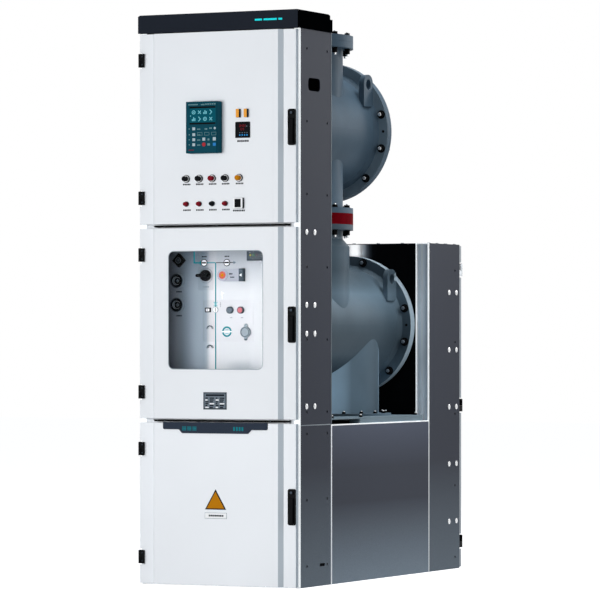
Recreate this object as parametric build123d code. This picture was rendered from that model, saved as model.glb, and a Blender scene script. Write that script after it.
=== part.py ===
from build123d import *
import os

# A gas insulated breaker cubicle: a tall front column with three doors, a low base cabinet,
# a rear column, and two gas tanks stacked behind the front column.
# Millimetres, +Z up. The front faces -Y, and the origin is on the floor at the cabinet's centre.

# Cabinet
cabinet_width = 750.0
cabinet_depth = 1630.0
column_height = 2330.0
column_depth = 300.0
base_height = 675.0
rear_column_height = 1465.0
rear_column_depth = 340.0
sheet = 3.0
fold = 20.0
seam = 3.0
front_flange = 62.0
bend_r = 8.0
corner_room = 6.0

# Frame inside the cabinet
frame_height = 50.0
frame_width = 45.0
frame_wall = 4.0
post_width = 45.0
post_depth = 40.0
post_corner = 6.0
rail_height = 60.0
lower_split_rise = 18.0
upper_split_z = 1512.0
anchor_r = 7.0
anchor_inset = 80.0
bay_wall_setback = 3.0

# Side panel holes
joint_hole_r = 5.5
joint_front_inset = 65.0
joint_rear_inset = 43.0
joint_top_inset = 81.0
joint_bottom_inset = 56.0
joint_rows = 6
lower_joint_rows = 3
lower_joint_top_inset = 34.0
lower_joint_bottom = 88.0
rear_joint_inset = 56.0
rear_joint_rows = 5
rear_joint_top_inset = 118.0
rear_joint_bottom = 53.0
grip_length = 112.0
grip_height = 54.0
grip_corner = 18.0
grip_inset = 77.0
grip_drop = 229.0
slot_length = 46.0
slot_height = 12.0

# Cap
cap_height = 77.0
cap_overhang = 3.0
cap_front = 27.0
cap_wall = 2.5
cap_bevel = 6.0
cap_step = 22.0

# Doors
door_gap = 6.0
door_side_gap = 6.0
door_split_gap = 18.0
door_bottom = 5.0
door_depth = 20.0
door_skin = 2.0
door_raise = 14.0
left_strip = 65.0
left_bevel = 11.6
right_strip = 81.0
right_bevel = 19.0

# Hinges
hinge_height = 56.0
hinge_r = 8.5
hinge_pin_r = 3.0
hinge_play = 0.4
hinge_stand = 9.5
hinge_inset = 13.0
hinge_plate_width = 16.0
hinge_arm = 6.0
hinge_notch = 6.0
hinge_end_inset = 111.0
rear_hinge_top_inset = 114.0
rear_hinge_bottom = 120.0
rear_hinge_middle = 737.0

# Handles
handle_width = 36.0
handle_height = 151.0
handle_corner = 9.0
handle_base = 7.0
handle_rim = 4.0
handle_pocket = 3.0
handle_inset = 23.0
handle_lift = 6.0
lever_width = 20.0
lever_height = 104.0
lever_root = 5.0
lever_tip = 12.0
lever_edge = 3.0
lock_r = 7.5

# Window in the middle door
window_width = 449.0
window_height = 499.0
window_radius = 26.0
window_x = -1.5
window_rise = 465.0
pane_thickness = 4.0
pane_lap = 14.0

# Trim between the doors
trim_height = 8.0
trim_left_inset = 71.0
trim_right_inset = 43.0
trim_taper = 5.0
rail_label_width = 492.0
rail_label_height = 30.0
rail_label_drop = 16.0
rail_label_lift = 3.0
rail_label_corner = 7.0
rail_label_centre = 310.0
rail_label_depth = 6.0

# Devices on the upper door
relay_width = 149.0
relay_height = 216.0
relay_depth = 45.0
relay_edge = 4.0
relay_screen_width = 124.0
relay_screen_height = 75.0
relay_screen_top = 21.0
relay_screen_shift = 5.5
relay_recess = 2.0
relay_x = -44.5
relay_z = 1923.0
meter_size = 67.0
meter_x = 129.0
meter_z = 1910.0
meter_depth = 6.0
meter_corner = 3.0
meter_rim = 6.0
meter_recess = 2.0
test_block_width = 14.5
test_block_height = 35.0
test_block_depth = 16.0
test_block_pitch = 37.0
test_block_z = 1979.5
upper_pilot_r = 13.5
lower_pilot_r = 11.0
pilot_rim = 3.0
pilot_bezel = 5.0
upper_pilot_cap = 20.0
lower_pilot_cap = 14.0
pilot_pitch = 61.5
pilot_x = -138.0
pilot_upper_z = 1710.0
pilot_lower_z = 1604.0
amber_pilot_x = 112.0
square_switch = 44.0
square_switch_depth = 16.0
square_switch_corner = 3.0
square_switch_edge = 2.0
square_insert_width = 29.0
square_insert_height = 35.0

# Operating panel behind the window
panel_setback = 118.0
socket_r = 30.0
socket_depth = 24.0
socket_bowl_r = 19.0
socket_bowl = 9.0
socket_pin_r = 7.0
socket_x = -258.5
socket_upper_z = 1284.0
socket_lower_z = 1182.0
key_socket_width = 42.0
key_socket_depth = 16.0
key_socket_x = -254.0
key_socket_z = 1371.0
knob_r = 24.0
knob_base = 13.0
knob_depth = 26.0
knob_reach = 38.0
knob_bar = 14.0
knob_x = -128.0
knob_z = 1306.0
latch_height = 54.0
latch_length = 78.0
latch_depth = 12.0
latch_button_r = 25.0
latch_end = 22.0
latch_step = 5.0
latch_x = -3.0
latch_z = 1307.0
indicator_width = 71.0
indicator_height = 41.0
indicator_depth = 14.0
indicator_x = 108.0
indicator_z = 1387.0
counter_width = 28.0
counter_height = 20.0
counter_depth = 4.0
counter_x = -118.0
counter_z = 1160.0
hasp_r = 15.0
hasp_rod = 5.0
hasp_depth = 10.0
hasp_x = -106.0
hasp_upper_z = 1080.0
hasp_lower_z = 998.0
drive_cover_r = 23.0
drive_tab = 14.0
drive_tab_reach = 36.0
drive_x = 63.0
drive_z = 1066.0
push_r = 15.0
push_depth = 12.0
push_x = 14.5
push_pitch = 51.0
push_z = 1159.0

# Gas tanks
tank_gap = 20.0
collar_r = 120.0
tank_r = 254.0
tank_wall = 10.0
flange_r = 309.0
flange_thickness = 24.0
flange_root = 14.0
cover_thickness = 18.0
lower_tank_z = 1100.0
lower_neck_rise = 458.0
upper_neck_drop = 392.0
upper_neck_rise = 404.0
upper_tank_end = 1039.0
lower_tank_gap = 8.0
neck_r = 215.0
neck_flange_r = 260.0
neck_y = 691.0
neck_flange = 24.0
top_flange = 28.0
top_cover = 28.0
insulator_height = 48.0
insulator_bore = 190.0
neck_straight = 62.0
chamber_r = 244.0
shoulder_height = 33.0
leg_r = 246.0
leg_y = 985.0
leg_flange_r = 300.0
leg_flange = 10.0
cover_dish = 40.0
cover_crown_r = 150.0
lug_x = 226.5
lug_thickness = 23.0
lug_depth = 92.0
lug_rise = 248.0
lug_foot = 107.0
lug_hole_r = 23.0
lug_hole_drop = 44.0
lug_round = 42.0

# Support under the lower tank
rail_top_height = 20.0
support_thickness = 6.0
support_inset = 4.0
support_rear = 54.0
support_rail_front = 585.0
support_rail_width = 50.0

# Worked out from the sizes above
half_width = cabinet_width / 2
inner_x = half_width - sheet
plate_x = inner_x - corner_room
front_y = -cabinet_depth / 2
rear_y = cabinet_depth / 2
column_y = front_y + column_depth
bay_y = rear_y - rear_column_depth
opening_x = inner_x - post_width
door_front = front_y - door_gap - door_depth
door_face = door_front - door_raise
back_plate_y = column_y - sheet
panel_y = front_y + panel_setback
leaf_left = -half_width + door_side_gap
leaf_right = half_width - door_side_gap
tank_y = column_y + cap_overhang + tank_gap
lower_tank_end = bay_y - front_y - lower_tank_gap
insulator_z = lower_tank_z + lower_neck_rise
upper_tank_z = insulator_z + upper_neck_drop
top_cover_z = upper_tank_z + upper_neck_rise
neck_axis_y = front_y + neck_y
leg_axis_y = front_y + leg_y
deck_z = base_height + rail_top_height + support_thickness
split_half = door_split_gap / 2
lower_split_z = base_height + lower_split_rise
window_z = lower_split_z + window_rise


def block(x, y, z):
    """A box from three (low, high) pairs."""
    size = (x[1] - x[0], y[1] - y[0], z[1] - z[0])
    centre = ((x[0] + x[1]) / 2, (y[0] + y[1]) / 2, (z[0] + z[1]) / 2)
    return Pos(*centre) * Box(*size)


def rod_x(x, y, z, radius):
    """A cylinder along X between the two values in x."""
    middle = (x[0] + x[1]) / 2
    return Pos(middle, y, z) * Rot(0, 90, 0) * Cylinder(radius, x[1] - x[0])


def rod_y(x, y, z, radius):
    """A cylinder along Y between the two values in y."""
    middle = (y[0] + y[1]) / 2
    return Pos(x, middle, z) * Rot(90, 0, 0) * Cylinder(radius, y[1] - y[0])


def rod_z(x, y, z, radius):
    """A cylinder along Z between the two values in z."""
    return Pos(x, y, (z[0] + z[1]) / 2) * Cylinder(radius, z[1] - z[0])


def mirrored(shape):
    """The same piece on the cabinet's other side."""
    return mirror(shape, about=Plane.YZ)


def save(shape, name):
    export_step(shape, f"parts/{name}.step")


# ---- Side panels -------------------------------------------------------------------------

def folded_side(y, z, front_fold, rear_fold, front_low=0.0, rear_low=0.0):
    """A right side panel: a sheet bent round at its front and rear, each fold above a low point."""
    skin = block((inner_x, half_width), y, z)
    front = block((half_width - front_fold, inner_x), (y[0], y[0] + sheet), z)
    rear = block((half_width - rear_fold, inner_x), (y[1] - sheet, y[1]), z)
    panel = skin + front + rear
    upright = panel.edges().filter_by(Axis.Z)
    outside = upright.filter_by_position(Axis.X, half_width - 0.1, half_width + 0.1)
    panel = fillet(outside, bend_r)
    upright = panel.edges().filter_by(Axis.Z)
    inside = upright.filter_by_position(Axis.X, inner_x - 0.1, inner_x + 0.1)
    panel = fillet(inside, bend_r - sheet)
    if front_low > z[0]:
        panel -= block((half_width - front_fold - 1, inner_x), (y[0] - 1, y[0] + bend_r), (-1, front_low))
    if rear_low > z[0]:
        panel -= block((half_width - rear_fold - 1, inner_x), (y[1] - bend_r, y[1] + 1), (-1, rear_low))
    return panel


def joint_holes(y, z_low, z_high, rows):
    """A column of joining holes through the right side panel, evenly spaced between two heights."""
    span = (inner_x - 1, half_width + 1)
    pitch = (z_high - z_low) / (rows - 1)
    return [rod_x(span, y, z_low + row * pitch, joint_hole_r) for row in range(rows)]


def side_cut(y, z, shape):
    """A tool that cuts a shape through the right side panel."""
    return Pos(inner_x - 1, 0, 0) * extrude(Plane.YZ * Pos(y, z) * shape, sheet + 2)


def upper_side():
    panel = folded_side((front_y, column_y), (base_height + seam, column_height), fold, fold)
    z = (base_height + joint_bottom_inset, column_height - joint_top_inset)
    for hole_y in (front_y + joint_front_inset, column_y - joint_rear_inset):
        panel -= joint_holes(hole_y, *z, joint_rows)
    grip = RectangleRounded(grip_length, grip_height, grip_corner)
    return panel - side_cut(front_y + grip_inset + grip_length / 2, column_height - grip_drop, grip)


def lower_side():
    panel = folded_side((front_y, column_y), (0, base_height), fold, fold, rear_low=frame_height)
    z = (lower_joint_bottom, base_height - lower_joint_top_inset)
    for hole_y in (front_y + joint_front_inset, column_y - joint_rear_inset):
        panel -= joint_holes(hole_y, *z, lower_joint_rows)
    slot = Rectangle(slot_length, slot_height)
    return panel - side_cut(column_y - joint_rear_inset - slot_length, lower_joint_bottom, slot)


def base_side():
    """The base cabinet's right side: a sheet with its top edge bent round."""
    y = (column_y + seam, bay_y - seam)
    skin = block((inner_x, half_width), y, (0, base_height))
    panel = skin + block((half_width - fold, inner_x), y, (base_height - sheet, base_height))
    along = panel.edges().filter_by(Axis.Y)
    panel = fillet(along.filter_by_position(Axis.X, half_width - 0.1, half_width + 0.1)
                   .sort_by(Axis.Z)[-1], bend_r)
    along = panel.edges().filter_by(Axis.Y)
    inside = along.filter_by_position(Axis.X, inner_x - 0.1, inner_x + 0.1).sort_by(Axis.Z)[-1]
    return fillet(inside, bend_r - sheet)


def rear_side():
    panel = folded_side((bay_y, rear_y), (0, rear_column_height), front_flange, fold,
                        front_low=frame_height)
    z = (rear_joint_bottom, rear_column_height - rear_joint_top_inset)
    return panel - joint_holes(rear_y - rear_joint_inset, *z, rear_joint_rows)


# ---- Frame, plates and cap ---------------------------------------------------------------

def base_frame():
    """Channel rails round the floor, open inwards, with an anchor hole near each corner."""
    y = (front_y + sheet, rear_y - sheet)
    rails = []
    for side in (-1, 1):
        rail = block((inner_x - frame_width, inner_x), y, (0, frame_height))
        corners = rail.edges().filter_by(Axis.Z).group_by(Axis.X)[-1]
        rail = chamfer(corners, corner_room)
        rail -= block((inner_x - frame_width - 1, inner_x - frame_wall), (y[0] - 1, y[1] + 1),
                      (frame_wall, frame_height - frame_wall))
        for anchor_y in (front_y + anchor_inset, rear_y - anchor_inset):
            rail -= rod_z(inner_x - frame_width / 2, anchor_y, (-1, frame_height + 1), anchor_r)
        rails.append(rail if side > 0 else mirrored(rail))
    for edge in (-1, 1):
        cross = block((-opening_x, opening_x), (rear_y - sheet - frame_width, rear_y - sheet),
                      (0, frame_height))
        cross -= block((-opening_x - 1, opening_x + 1),
                       (rear_y - sheet - frame_width - 1, rear_y - sheet - frame_wall),
                       (frame_wall, frame_height - frame_wall))
        rails.append(cross if edge > 0 else mirror(cross, about=Plane.XZ))
    return rails


def floor_plate():
    x = inner_x - frame_width
    y = rear_y - sheet - frame_width
    return block((-x, x), (-y, y), (0, sheet))


def front_post():
    """A rounded square tube behind the right edge of the door openings."""
    height = column_height - sheet - frame_height
    place = Pos(inner_x - post_width / 2, front_y + sheet + post_depth / 2, frame_height)
    tube = extrude(RectangleRounded(post_width, post_depth, post_corner), height)
    bore = extrude(RectangleRounded(post_width - 2 * sheet, post_depth - 2 * sheet, post_corner - sheet),
                   height)
    return place * (tube - bore)


def cross_rail(z_low, z_high):
    """A box rail between the posts, its front face level with the cabinet's front."""
    y = (front_y, front_y + sheet + post_depth)
    tube = block((-opening_x, opening_x), y, (z_low, z_high))
    bore = block((-opening_x - 1, opening_x + 1), (y[0] + sheet, y[1] - sheet),
                 (z_low + sheet, z_high - sheet))
    return tube - bore


def cross_rails():
    half = rail_height / 2
    return [
        cross_rail(column_height - sheet - rail_height, column_height - sheet),
        cross_rail(upper_split_z - half, upper_split_z + half),
        cross_rail(lower_split_z - half, lower_split_z + half),
    ]


def shelves():
    """The floors of the upper and middle compartments, on the cross rails' height."""
    y = (front_y + sheet + post_depth, back_plate_y - sheet)
    return [block((-plate_x, plate_x), y, (z, z + sheet)) for z in (lower_split_z, upper_split_z)]


def column_back_plate():
    z = (base_height, column_height - sheet)
    return block((-plate_x, plate_x), (back_plate_y - sheet, back_plate_y), z)


def roof_plates():
    z = (column_height - sheet, column_height)
    column = block((-plate_x, plate_x), (front_y + sheet, column_y - sheet), z)
    z = (rear_column_height - sheet, rear_column_height)
    rear = block((-plate_x, plate_x), (bay_y + sheet, rear_y - sheet), z)
    return [column, rear]


def top_cap():
    """A folded cap over the front column, stepped down at its rear edge and open underneath."""
    x = (-half_width - cap_overhang, half_width + cap_overhang)
    y = (front_y - cap_front, column_y + cap_overhang)
    z = (column_height, column_height + cap_height)
    step_y = y[1] - cap_step
    step_z = z[1] - cap_step
    shell = block(x, (y[0], step_y), z)
    shell = chamfer(shell.faces().sort_by(Axis.Z)[-1].edges(), cap_bevel)
    shell += block(x, (step_y - cap_bevel, y[1]), (z[0], step_z))
    inside = (x[0] + cap_wall, x[1] - cap_wall)
    shell -= block(inside, (y[0] + cap_wall, step_y - cap_wall), (z[0] - 1, z[1] - cap_bevel - cap_wall))
    shell -= block(inside, (y[0] + cap_wall, y[1] - cap_wall), (z[0] - 1, step_z - cap_wall))
    lip = block(inside, (y[0] + cap_wall, front_y - door_gap), (z[0], z[0] + cap_wall))
    return shell + lip


def base_top_plate():
    z = (base_height - 2 * sheet, base_height - sheet)
    return block((-plate_x, plate_x), (column_y, bay_y), z)


def rear_front_wall():
    y = (bay_y + bay_wall_setback, bay_y + bay_wall_setback + sheet)
    return block((-plate_x, plate_x), y, (base_height - sheet, rear_column_height - sheet))


# ---- Doors -------------------------------------------------------------------------------

def door_outline(inset):
    """The front door's section, seen from above, inset by the skin's thickness or by nothing."""
    rise = door_front + inset
    top = door_face + inset
    left = leaf_left + left_strip
    right = leaf_right - right_strip
    return [
        (leaf_left + inset, front_y - door_gap),
        (leaf_left + inset, rise),
        (left + inset / 2, rise),
        (left + left_bevel + inset / 2, top),
        (right - right_bevel - inset / 2, top),
        (right - inset / 2, rise),
        (leaf_right - inset, rise),
        (leaf_right - inset, front_y - door_gap),
    ]


def hinge_notches(heights):
    """Room in a front door's left edge for the fixed hinge arms."""
    x = (leaf_left - 1, -half_width + hinge_inset + hinge_arm / 2)
    y = (door_face, front_y)
    half = hinge_height / 2 + hinge_notch
    return [block(x, y, (z - half, z + half)) for z in heights]


def front_leaf(z_low, z_high, hinge_heights):
    """A door leaf folded from one sheet, with a raised middle."""
    outer = make_face(Polyline(*door_outline(0), close=True))
    inner = make_face(Polyline(*door_outline(door_skin), close=True))
    leaf = Pos(0, 0, z_low) * extrude(outer, z_high - z_low)
    leaf -= Pos(0, 0, z_low + door_skin) * extrude(inner, z_high - z_low - 2 * door_skin)
    return leaf - hinge_notches(hinge_heights)


def pinned_heights(z_low, z_high):
    return [z_low + hinge_end_inset, z_high - hinge_end_inset]


def fixed_hinge(z):
    """The lower knuckle of a front hinge and its arm from the cabinet's front."""
    x = -half_width + hinge_inset
    y = door_front - hinge_stand
    height = (z - hinge_height / 2, z - hinge_play / 2)
    knuckle = rod_z(x, y, height, hinge_r)
    arm = block((x - hinge_r, x - hinge_r + hinge_arm), (y, front_y), height)
    bore = rod_z(x, y, (height[0] - 1, height[1] + 1), hinge_pin_r + hinge_play)
    return knuckle + arm - bore


def door_hinge(z):
    """The upper knuckle with the pin, and the plate on the leaf."""
    x = -half_width + hinge_inset
    y = door_front - hinge_stand
    upper = (z + hinge_play / 2, z + hinge_height / 2)
    knuckle = rod_z(x, y, upper, hinge_r)
    web = block((x, x + hinge_r + hinge_play * 4), (y - hinge_r, door_front), upper)
    plate = block((x + hinge_r + hinge_play * 4, x + hinge_plate_width), (y - hinge_r, door_front),
                  (z - hinge_height / 2, z + hinge_height / 2))
    pin = rod_z(x, y, (z - hinge_height / 2, z + hinge_height / 2), hinge_pin_r)
    return knuckle + web + plate + pin


def handle(z):
    """A swing handle: a rimmed tray, a lever that grows towards its tip, and a lock barrel above."""
    x = leaf_right + door_side_gap - handle_inset
    face = door_front - handle_base
    tray = Pos(0, door_front, 0) * extrude(
        Plane.XZ * Pos(x, z) * RectangleRounded(handle_width, handle_height, handle_corner), handle_base)
    pocket = RectangleRounded(handle_width - 2 * handle_rim, handle_height - 2 * handle_rim,
                              handle_corner - handle_rim)
    tray -= Pos(0, face + handle_pocket, 0) * extrude(Plane.XZ * Pos(x, z) * pocket, handle_pocket)
    low = z - handle_height / 2 + 2 * handle_rim
    profile = [(face + handle_pocket, low), (face - lever_tip, low), (face - lever_root, low + lever_height),
               (face + handle_pocket, low + lever_height)]
    lever = Pos(x - lever_width / 2, 0, 0) * extrude(
        make_face(Plane.YZ * Polyline(*profile, close=True)), lever_width, dir=(1, 0, 0))
    lever = chamfer(lever.faces().sort_by(Axis.Y)[0].edges(), lever_edge)
    lock_z = z + handle_height / 2 - 2 * handle_rim - lock_r
    lock = rod_y(x, (face - lever_root, face + handle_pocket), lock_z, lock_r)
    return tray + lever + lock


def turned(shape):
    """The same piece, turned half round the cabinet's vertical axis."""
    return Rot(0, 0, 180) * shape


def rear_leaf(hinge_heights):
    """The rear door: a plain folded pan, built at the front and turned round."""
    z = (door_bottom, rear_column_height - door_bottom)
    pan = block((leaf_left, leaf_right), (door_front, front_y - door_gap), z)
    pan -= block((leaf_left + door_skin, leaf_right - door_skin), (door_front + door_skin, front_y),
                 (z[0] + door_skin, z[1] - door_skin))
    return turned(pan - hinge_notches(hinge_heights))


def window_cut():
    opening = RectangleRounded(window_width, window_height, window_radius)
    return Pos(0, front_y, 0) * extrude(Plane.XZ * Pos(window_x, window_z) * opening,
                                        front_y - door_face + 1)


def window_pane():
    shape = RectangleRounded(window_width + 2 * pane_lap, window_height + 2 * pane_lap,
                             window_radius + pane_lap)
    pane = extrude(Plane.XZ * Pos(window_x, window_z) * shape, pane_thickness)
    return Pos(0, door_face + door_skin + pane_thickness, 0) * pane


def trim_bars():
    """Slim bars with tapered ends over the cross rails, in the gaps between the doors."""
    left = -half_width + trim_left_inset
    right = half_width - trim_right_inset
    bars = []
    for z in (lower_split_z, upper_split_z):
        points = [(left, z + trim_height / 2), (right, z + trim_height / 2),
                  (right - trim_taper, z - trim_height / 2), (left + trim_taper, z - trim_height / 2)]
        face = make_face(Plane.XZ * Polyline(*points, close=True))
        bars.append(Pos(0, front_y, 0) * extrude(face, front_y - door_front, dir=(0, -1, 0)))
    return bars


def label_rail():
    """The shallow plate along the lower door's top, deeper in its middle and rounded below."""
    top = lower_split_z - split_half + rail_label_lift
    low = top - rail_label_height
    deep = low - rail_label_drop
    half = rail_label_width / 2
    middle = rail_label_centre / 2
    slope = rail_label_drop
    points = [(-half, top), (half, top), (half, low), (middle + slope, low), (middle, deep),
              (-middle, deep), (-middle - slope, low), (-half, low)]
    face = make_face(Plane.XZ * Polyline(*points, close=True))
    rail = Pos(window_x, door_face, 0) * extrude(face, rail_label_depth, dir=(0, -1, 0))
    lower_corners = rail.edges().filter_by(Axis.Y).sort_by(Axis.Z)[:6]
    outer_corners = lower_corners.filter_by_position(Axis.Z, deep, low)
    return fillet([*outer_corners], rail_label_corner)


# ---- Devices -----------------------------------------------------------------------------

def on_door(x, z, shape, depth):
    """A prism standing on the upper door's raised face."""
    return Pos(0, door_face, 0) * extrude(Plane.XZ * Pos(x, z) * shape, depth)


def relay():
    """The relay's housing, with its display set back in the front."""
    body = on_door(relay_x, relay_z, Rectangle(relay_width, relay_height), relay_depth)
    body = chamfer(body.faces().sort_by(Axis.Y)[0].edges(), relay_edge)
    screen_z = relay_z + relay_height / 2 - relay_screen_top - relay_screen_height / 2
    screen_x = relay_x + relay_screen_shift
    screen = on_door(screen_x, screen_z, Rectangle(relay_screen_width, relay_screen_height), relay_recess)
    return body - Pos(0, relay_recess - relay_depth, 0) * screen


def panel_meter():
    body = on_door(meter_x, meter_z, RectangleRounded(meter_size, meter_size, meter_corner), meter_depth)
    opening = meter_size - 2 * meter_rim
    window = on_door(meter_x, meter_z, Rectangle(opening, opening), meter_recess)
    return body - Pos(0, meter_recess - meter_depth, 0) * window


def test_blocks():
    shape = Rectangle(test_block_width, test_block_height)
    return [on_door(meter_x + side * test_block_pitch / 2, test_block_z, shape, test_block_depth)
            for side in (-1, 1)]


def pilot(x, z, radius, cap):
    """A round device: a bezel and the cap that stands in it."""
    bezel = on_door(x, z, Circle(radius), pilot_bezel)
    return bezel + on_door(x, z, Circle(radius - pilot_rim), pilot_bezel + cap)


def square_device(x, z):
    """A square housing with an insert set into its face."""
    frame = on_door(x, z, RectangleRounded(square_switch, square_switch, square_switch_corner),
                    square_switch_depth)
    frame = chamfer(frame.faces().sort_by(Axis.Y)[0].edges(), square_switch_edge)
    insert = on_door(x, z, Rectangle(square_insert_width, square_insert_height), square_switch_edge)
    return frame - Pos(0, square_switch_edge - square_switch_depth, 0) * insert


def pilot_devices():
    places = [pilot_x + step * pilot_pitch for step in range(4)]
    devices = [pilot(x, pilot_upper_z, upper_pilot_r, upper_pilot_cap) for x in [*places, amber_pilot_x]]
    devices += [pilot(x, pilot_lower_z, lower_pilot_r, lower_pilot_cap) for x in places]
    devices.append(square_device(amber_pilot_x, pilot_lower_z))
    return devices


def on_panel(x, z, shape, depth):
    """A prism standing on the operating panel."""
    return Pos(0, panel_y, 0) * extrude(Plane.XZ * Pos(x, z) * shape, depth)


def operating_panel():
    z = (lower_split_z + sheet, upper_split_z - rail_height / 2)
    return block((-inner_x, inner_x), (panel_y, panel_y + sheet), z)


def drive_socket(z):
    """A round socket with a bowl, and a pin standing in it."""
    socket = on_panel(socket_x, z, Circle(socket_r), socket_depth)
    socket -= Pos(0, socket_bowl - socket_depth, 0) * on_panel(socket_x, z, Circle(socket_bowl_r),
                                                              socket_bowl)
    return socket + on_panel(socket_x, z, Circle(socket_pin_r), socket_depth)


def selector_knob():
    """A round base and a handle that points to one side."""
    base = on_panel(knob_x, knob_z, Circle(knob_r), knob_base)
    length = knob_reach + knob_r - latch_step
    bar = SlotOverall(length, knob_bar)
    middle = knob_x + (knob_r - latch_step - knob_reach) / 2
    return base + on_panel(middle, knob_z, bar, knob_depth)


def interlock_latch():
    """A key plate with a round button at one end and a raised stop at the other."""
    plate = on_panel(latch_x, latch_z, Rectangle(latch_length, latch_height), latch_depth)
    button = on_panel(latch_x - latch_length / 2, latch_z, Circle(latch_button_r),
                      latch_depth + latch_step)
    stop = on_panel(latch_x + (latch_length + latch_end) / 2, latch_z, Rectangle(latch_end, latch_height),
                    latch_depth + latch_step)
    return plate + button + stop


def hasp(z):
    """An arch for a padlock."""
    ring = on_panel(hasp_x, z, Circle(hasp_r) - Circle(hasp_r - hasp_rod), hasp_depth)
    cut = on_panel(hasp_x, z - hasp_r / 2, Rectangle(2 * hasp_r, hasp_r), hasp_depth)
    return ring - cut


def drive_cover():
    """A round cover over the charging drive, with a tab above and below."""
    disc = on_panel(drive_x, drive_z, Circle(drive_cover_r), push_depth)
    tabs = on_panel(drive_x, drive_z, SlotOverall(2 * drive_tab_reach, drive_tab, rotation=90),
                    push_depth / 2)
    return disc + tabs


def operating_controls():
    """What an operator uses on the panel, from the sockets to the push buttons."""
    controls = [drive_socket(z) for z in (socket_upper_z, socket_lower_z)]
    key_shape = Rectangle(key_socket_width, key_socket_width, rotation=45)
    controls.append(on_panel(key_socket_x, key_socket_z, key_shape, key_socket_depth))
    controls.append(selector_knob())
    controls.append(interlock_latch())
    indicator = Rectangle(indicator_width, indicator_height)
    controls.append(on_panel(indicator_x, indicator_z, indicator, indicator_depth))
    counter = Rectangle(counter_width, counter_height)
    controls.append(on_panel(counter_x, counter_z, counter, counter_depth))
    controls += [hasp(z) for z in (hasp_upper_z, hasp_lower_z)]
    for side in (-1, 1):
        controls.append(on_panel(push_x + side * push_pitch / 2, push_z, Circle(push_r), push_depth))
    controls.append(drive_cover())
    return controls


# ---- Gas tanks ---------------------------------------------------------------------------

def lugs(z, end_y):
    """Two lifting lugs that stand on the tank's shoulder against its rear flange."""
    top = z + lug_rise
    shape = Rectangle(lug_depth, lug_rise - lug_foot)
    outline = Plane.YZ * Pos(end_y - lug_depth / 2, (top + z + lug_foot) / 2) * shape
    plate = extrude(outline, lug_thickness)
    top_edges = plate.edges().filter_by(Axis.X).group_by(Axis.Z)[-1]
    plate = Pos(lug_x - lug_thickness / 2, 0, 0) * fillet(top_edges, lug_round)
    span = (lug_x - lug_thickness, lug_x + lug_thickness)
    plate -= rod_x(span, end_y - lug_depth / 2, top - lug_hole_drop, lug_hole_r)
    return [plate, mirrored(plate)]


def flange_cone(z, face_y, way):
    """The cone by which a barrel swells into its flange, from the flange's face along Y."""
    face = Plane(origin=(0, face_y, z), z_dir=(0, way, 0))
    return loft([face * Circle(tank_r + flange_root), face.offset(2 * flange_root) * Circle(tank_r)])


def tank_barrel(z, end):
    """A horizontal barrel with a flange at each end, before it is bored out."""
    start_y = tank_y + cover_thickness
    end_y = front_y + end - cover_thickness
    barrel = rod_y(0, (start_y, end_y), z, tank_r)
    barrel += rod_y(0, (start_y, start_y + flange_thickness), z, flange_r)
    barrel += rod_y(0, (end_y - flange_thickness, end_y), z, flange_r)
    barrel += flange_cone(z, start_y + flange_thickness, 1)
    barrel += flange_cone(z, end_y - flange_thickness, -1)
    return barrel, start_y, end_y


def upper_tank():
    tank, start_y, end_y = tank_barrel(upper_tank_z, upper_tank_end)
    low = insulator_z + insulator_height / 2
    high = top_cover_z - top_cover
    tank += rod_z(0, neck_axis_y, (low, high), neck_r)
    tank += rod_z(0, neck_axis_y, (low, low + neck_flange), neck_flange_r)
    tank += rod_z(0, neck_axis_y, (high - top_flange, high), neck_flange_r)
    tank += lugs(upper_tank_z, end_y - flange_thickness)
    tank -= rod_y(0, (start_y, end_y), upper_tank_z, tank_r - tank_wall)
    return tank - rod_z(0, neck_axis_y, (low, high), neck_r - tank_wall)


def chamber():
    """The upright chamber on the lower tank, with a shoulder that slopes in to the neck."""
    top = insulator_z - insulator_height / 2
    shoulder = top - neck_straight
    outline = [(0, lower_tank_z), (chamber_r, lower_tank_z), (chamber_r, shoulder - shoulder_height),
               (neck_r, shoulder), (neck_r, top), (0, top)]
    profile = make_face(Plane.XZ * Polyline(*outline, close=True))
    return Pos(0, neck_axis_y, 0) * revolve(profile, Axis.Z)


def lower_tank():
    tank, start_y, end_y = tank_barrel(lower_tank_z, lower_tank_end)
    top = insulator_z - insulator_height / 2
    tank += chamber()
    tank += rod_z(0, neck_axis_y, (top - neck_flange, top), neck_flange_r)
    tank += rod_z(0, leg_axis_y, (deck_z, lower_tank_z), leg_r)
    tank += rod_z(0, leg_axis_y, (deck_z, deck_z + leg_flange), leg_flange_r)
    tank += lugs(lower_tank_z, end_y - flange_thickness)
    tank -= rod_y(0, (start_y, end_y), lower_tank_z, tank_r - tank_wall)
    tank -= rod_z(0, neck_axis_y, (lower_tank_z, top), neck_r - tank_wall)
    return tank - rod_z(0, leg_axis_y, (deck_z, lower_tank_z), leg_r - tank_wall)


def front_covers():
    """Flat end covers, each on the collar that joins its tank to the column's back plate."""
    covers = []
    for z in (upper_tank_z, lower_tank_z):
        cover = rod_y(0, (tank_y, tank_y + cover_thickness), z, flange_r)
        covers.append(cover + rod_y(0, (back_plate_y, tank_y), z, collar_r))
    return covers


def rear_cover(z, end):
    """A flat end cover on a tank's rear flange."""
    y = front_y + end
    return rod_y(0, (y - cover_thickness, y), z, flange_r)


def crowned_cover(z, end):
    """An end cover with a low cone that ends in a flat crown."""
    base = Plane(origin=(0, front_y + end, z), z_dir=(0, 1, 0))
    crown = base.offset(cover_dish)
    return rear_cover(z, end) + loft([base * Circle(tank_r), crown * Circle(cover_crown_r)])


def insulator_ring():
    z = (insulator_z - insulator_height / 2, insulator_z + insulator_height / 2)
    ring = rod_z(0, neck_axis_y, z, neck_flange_r)
    return ring - rod_z(0, neck_axis_y, (z[0] - 1, z[1] + 1), insulator_bore)


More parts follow.
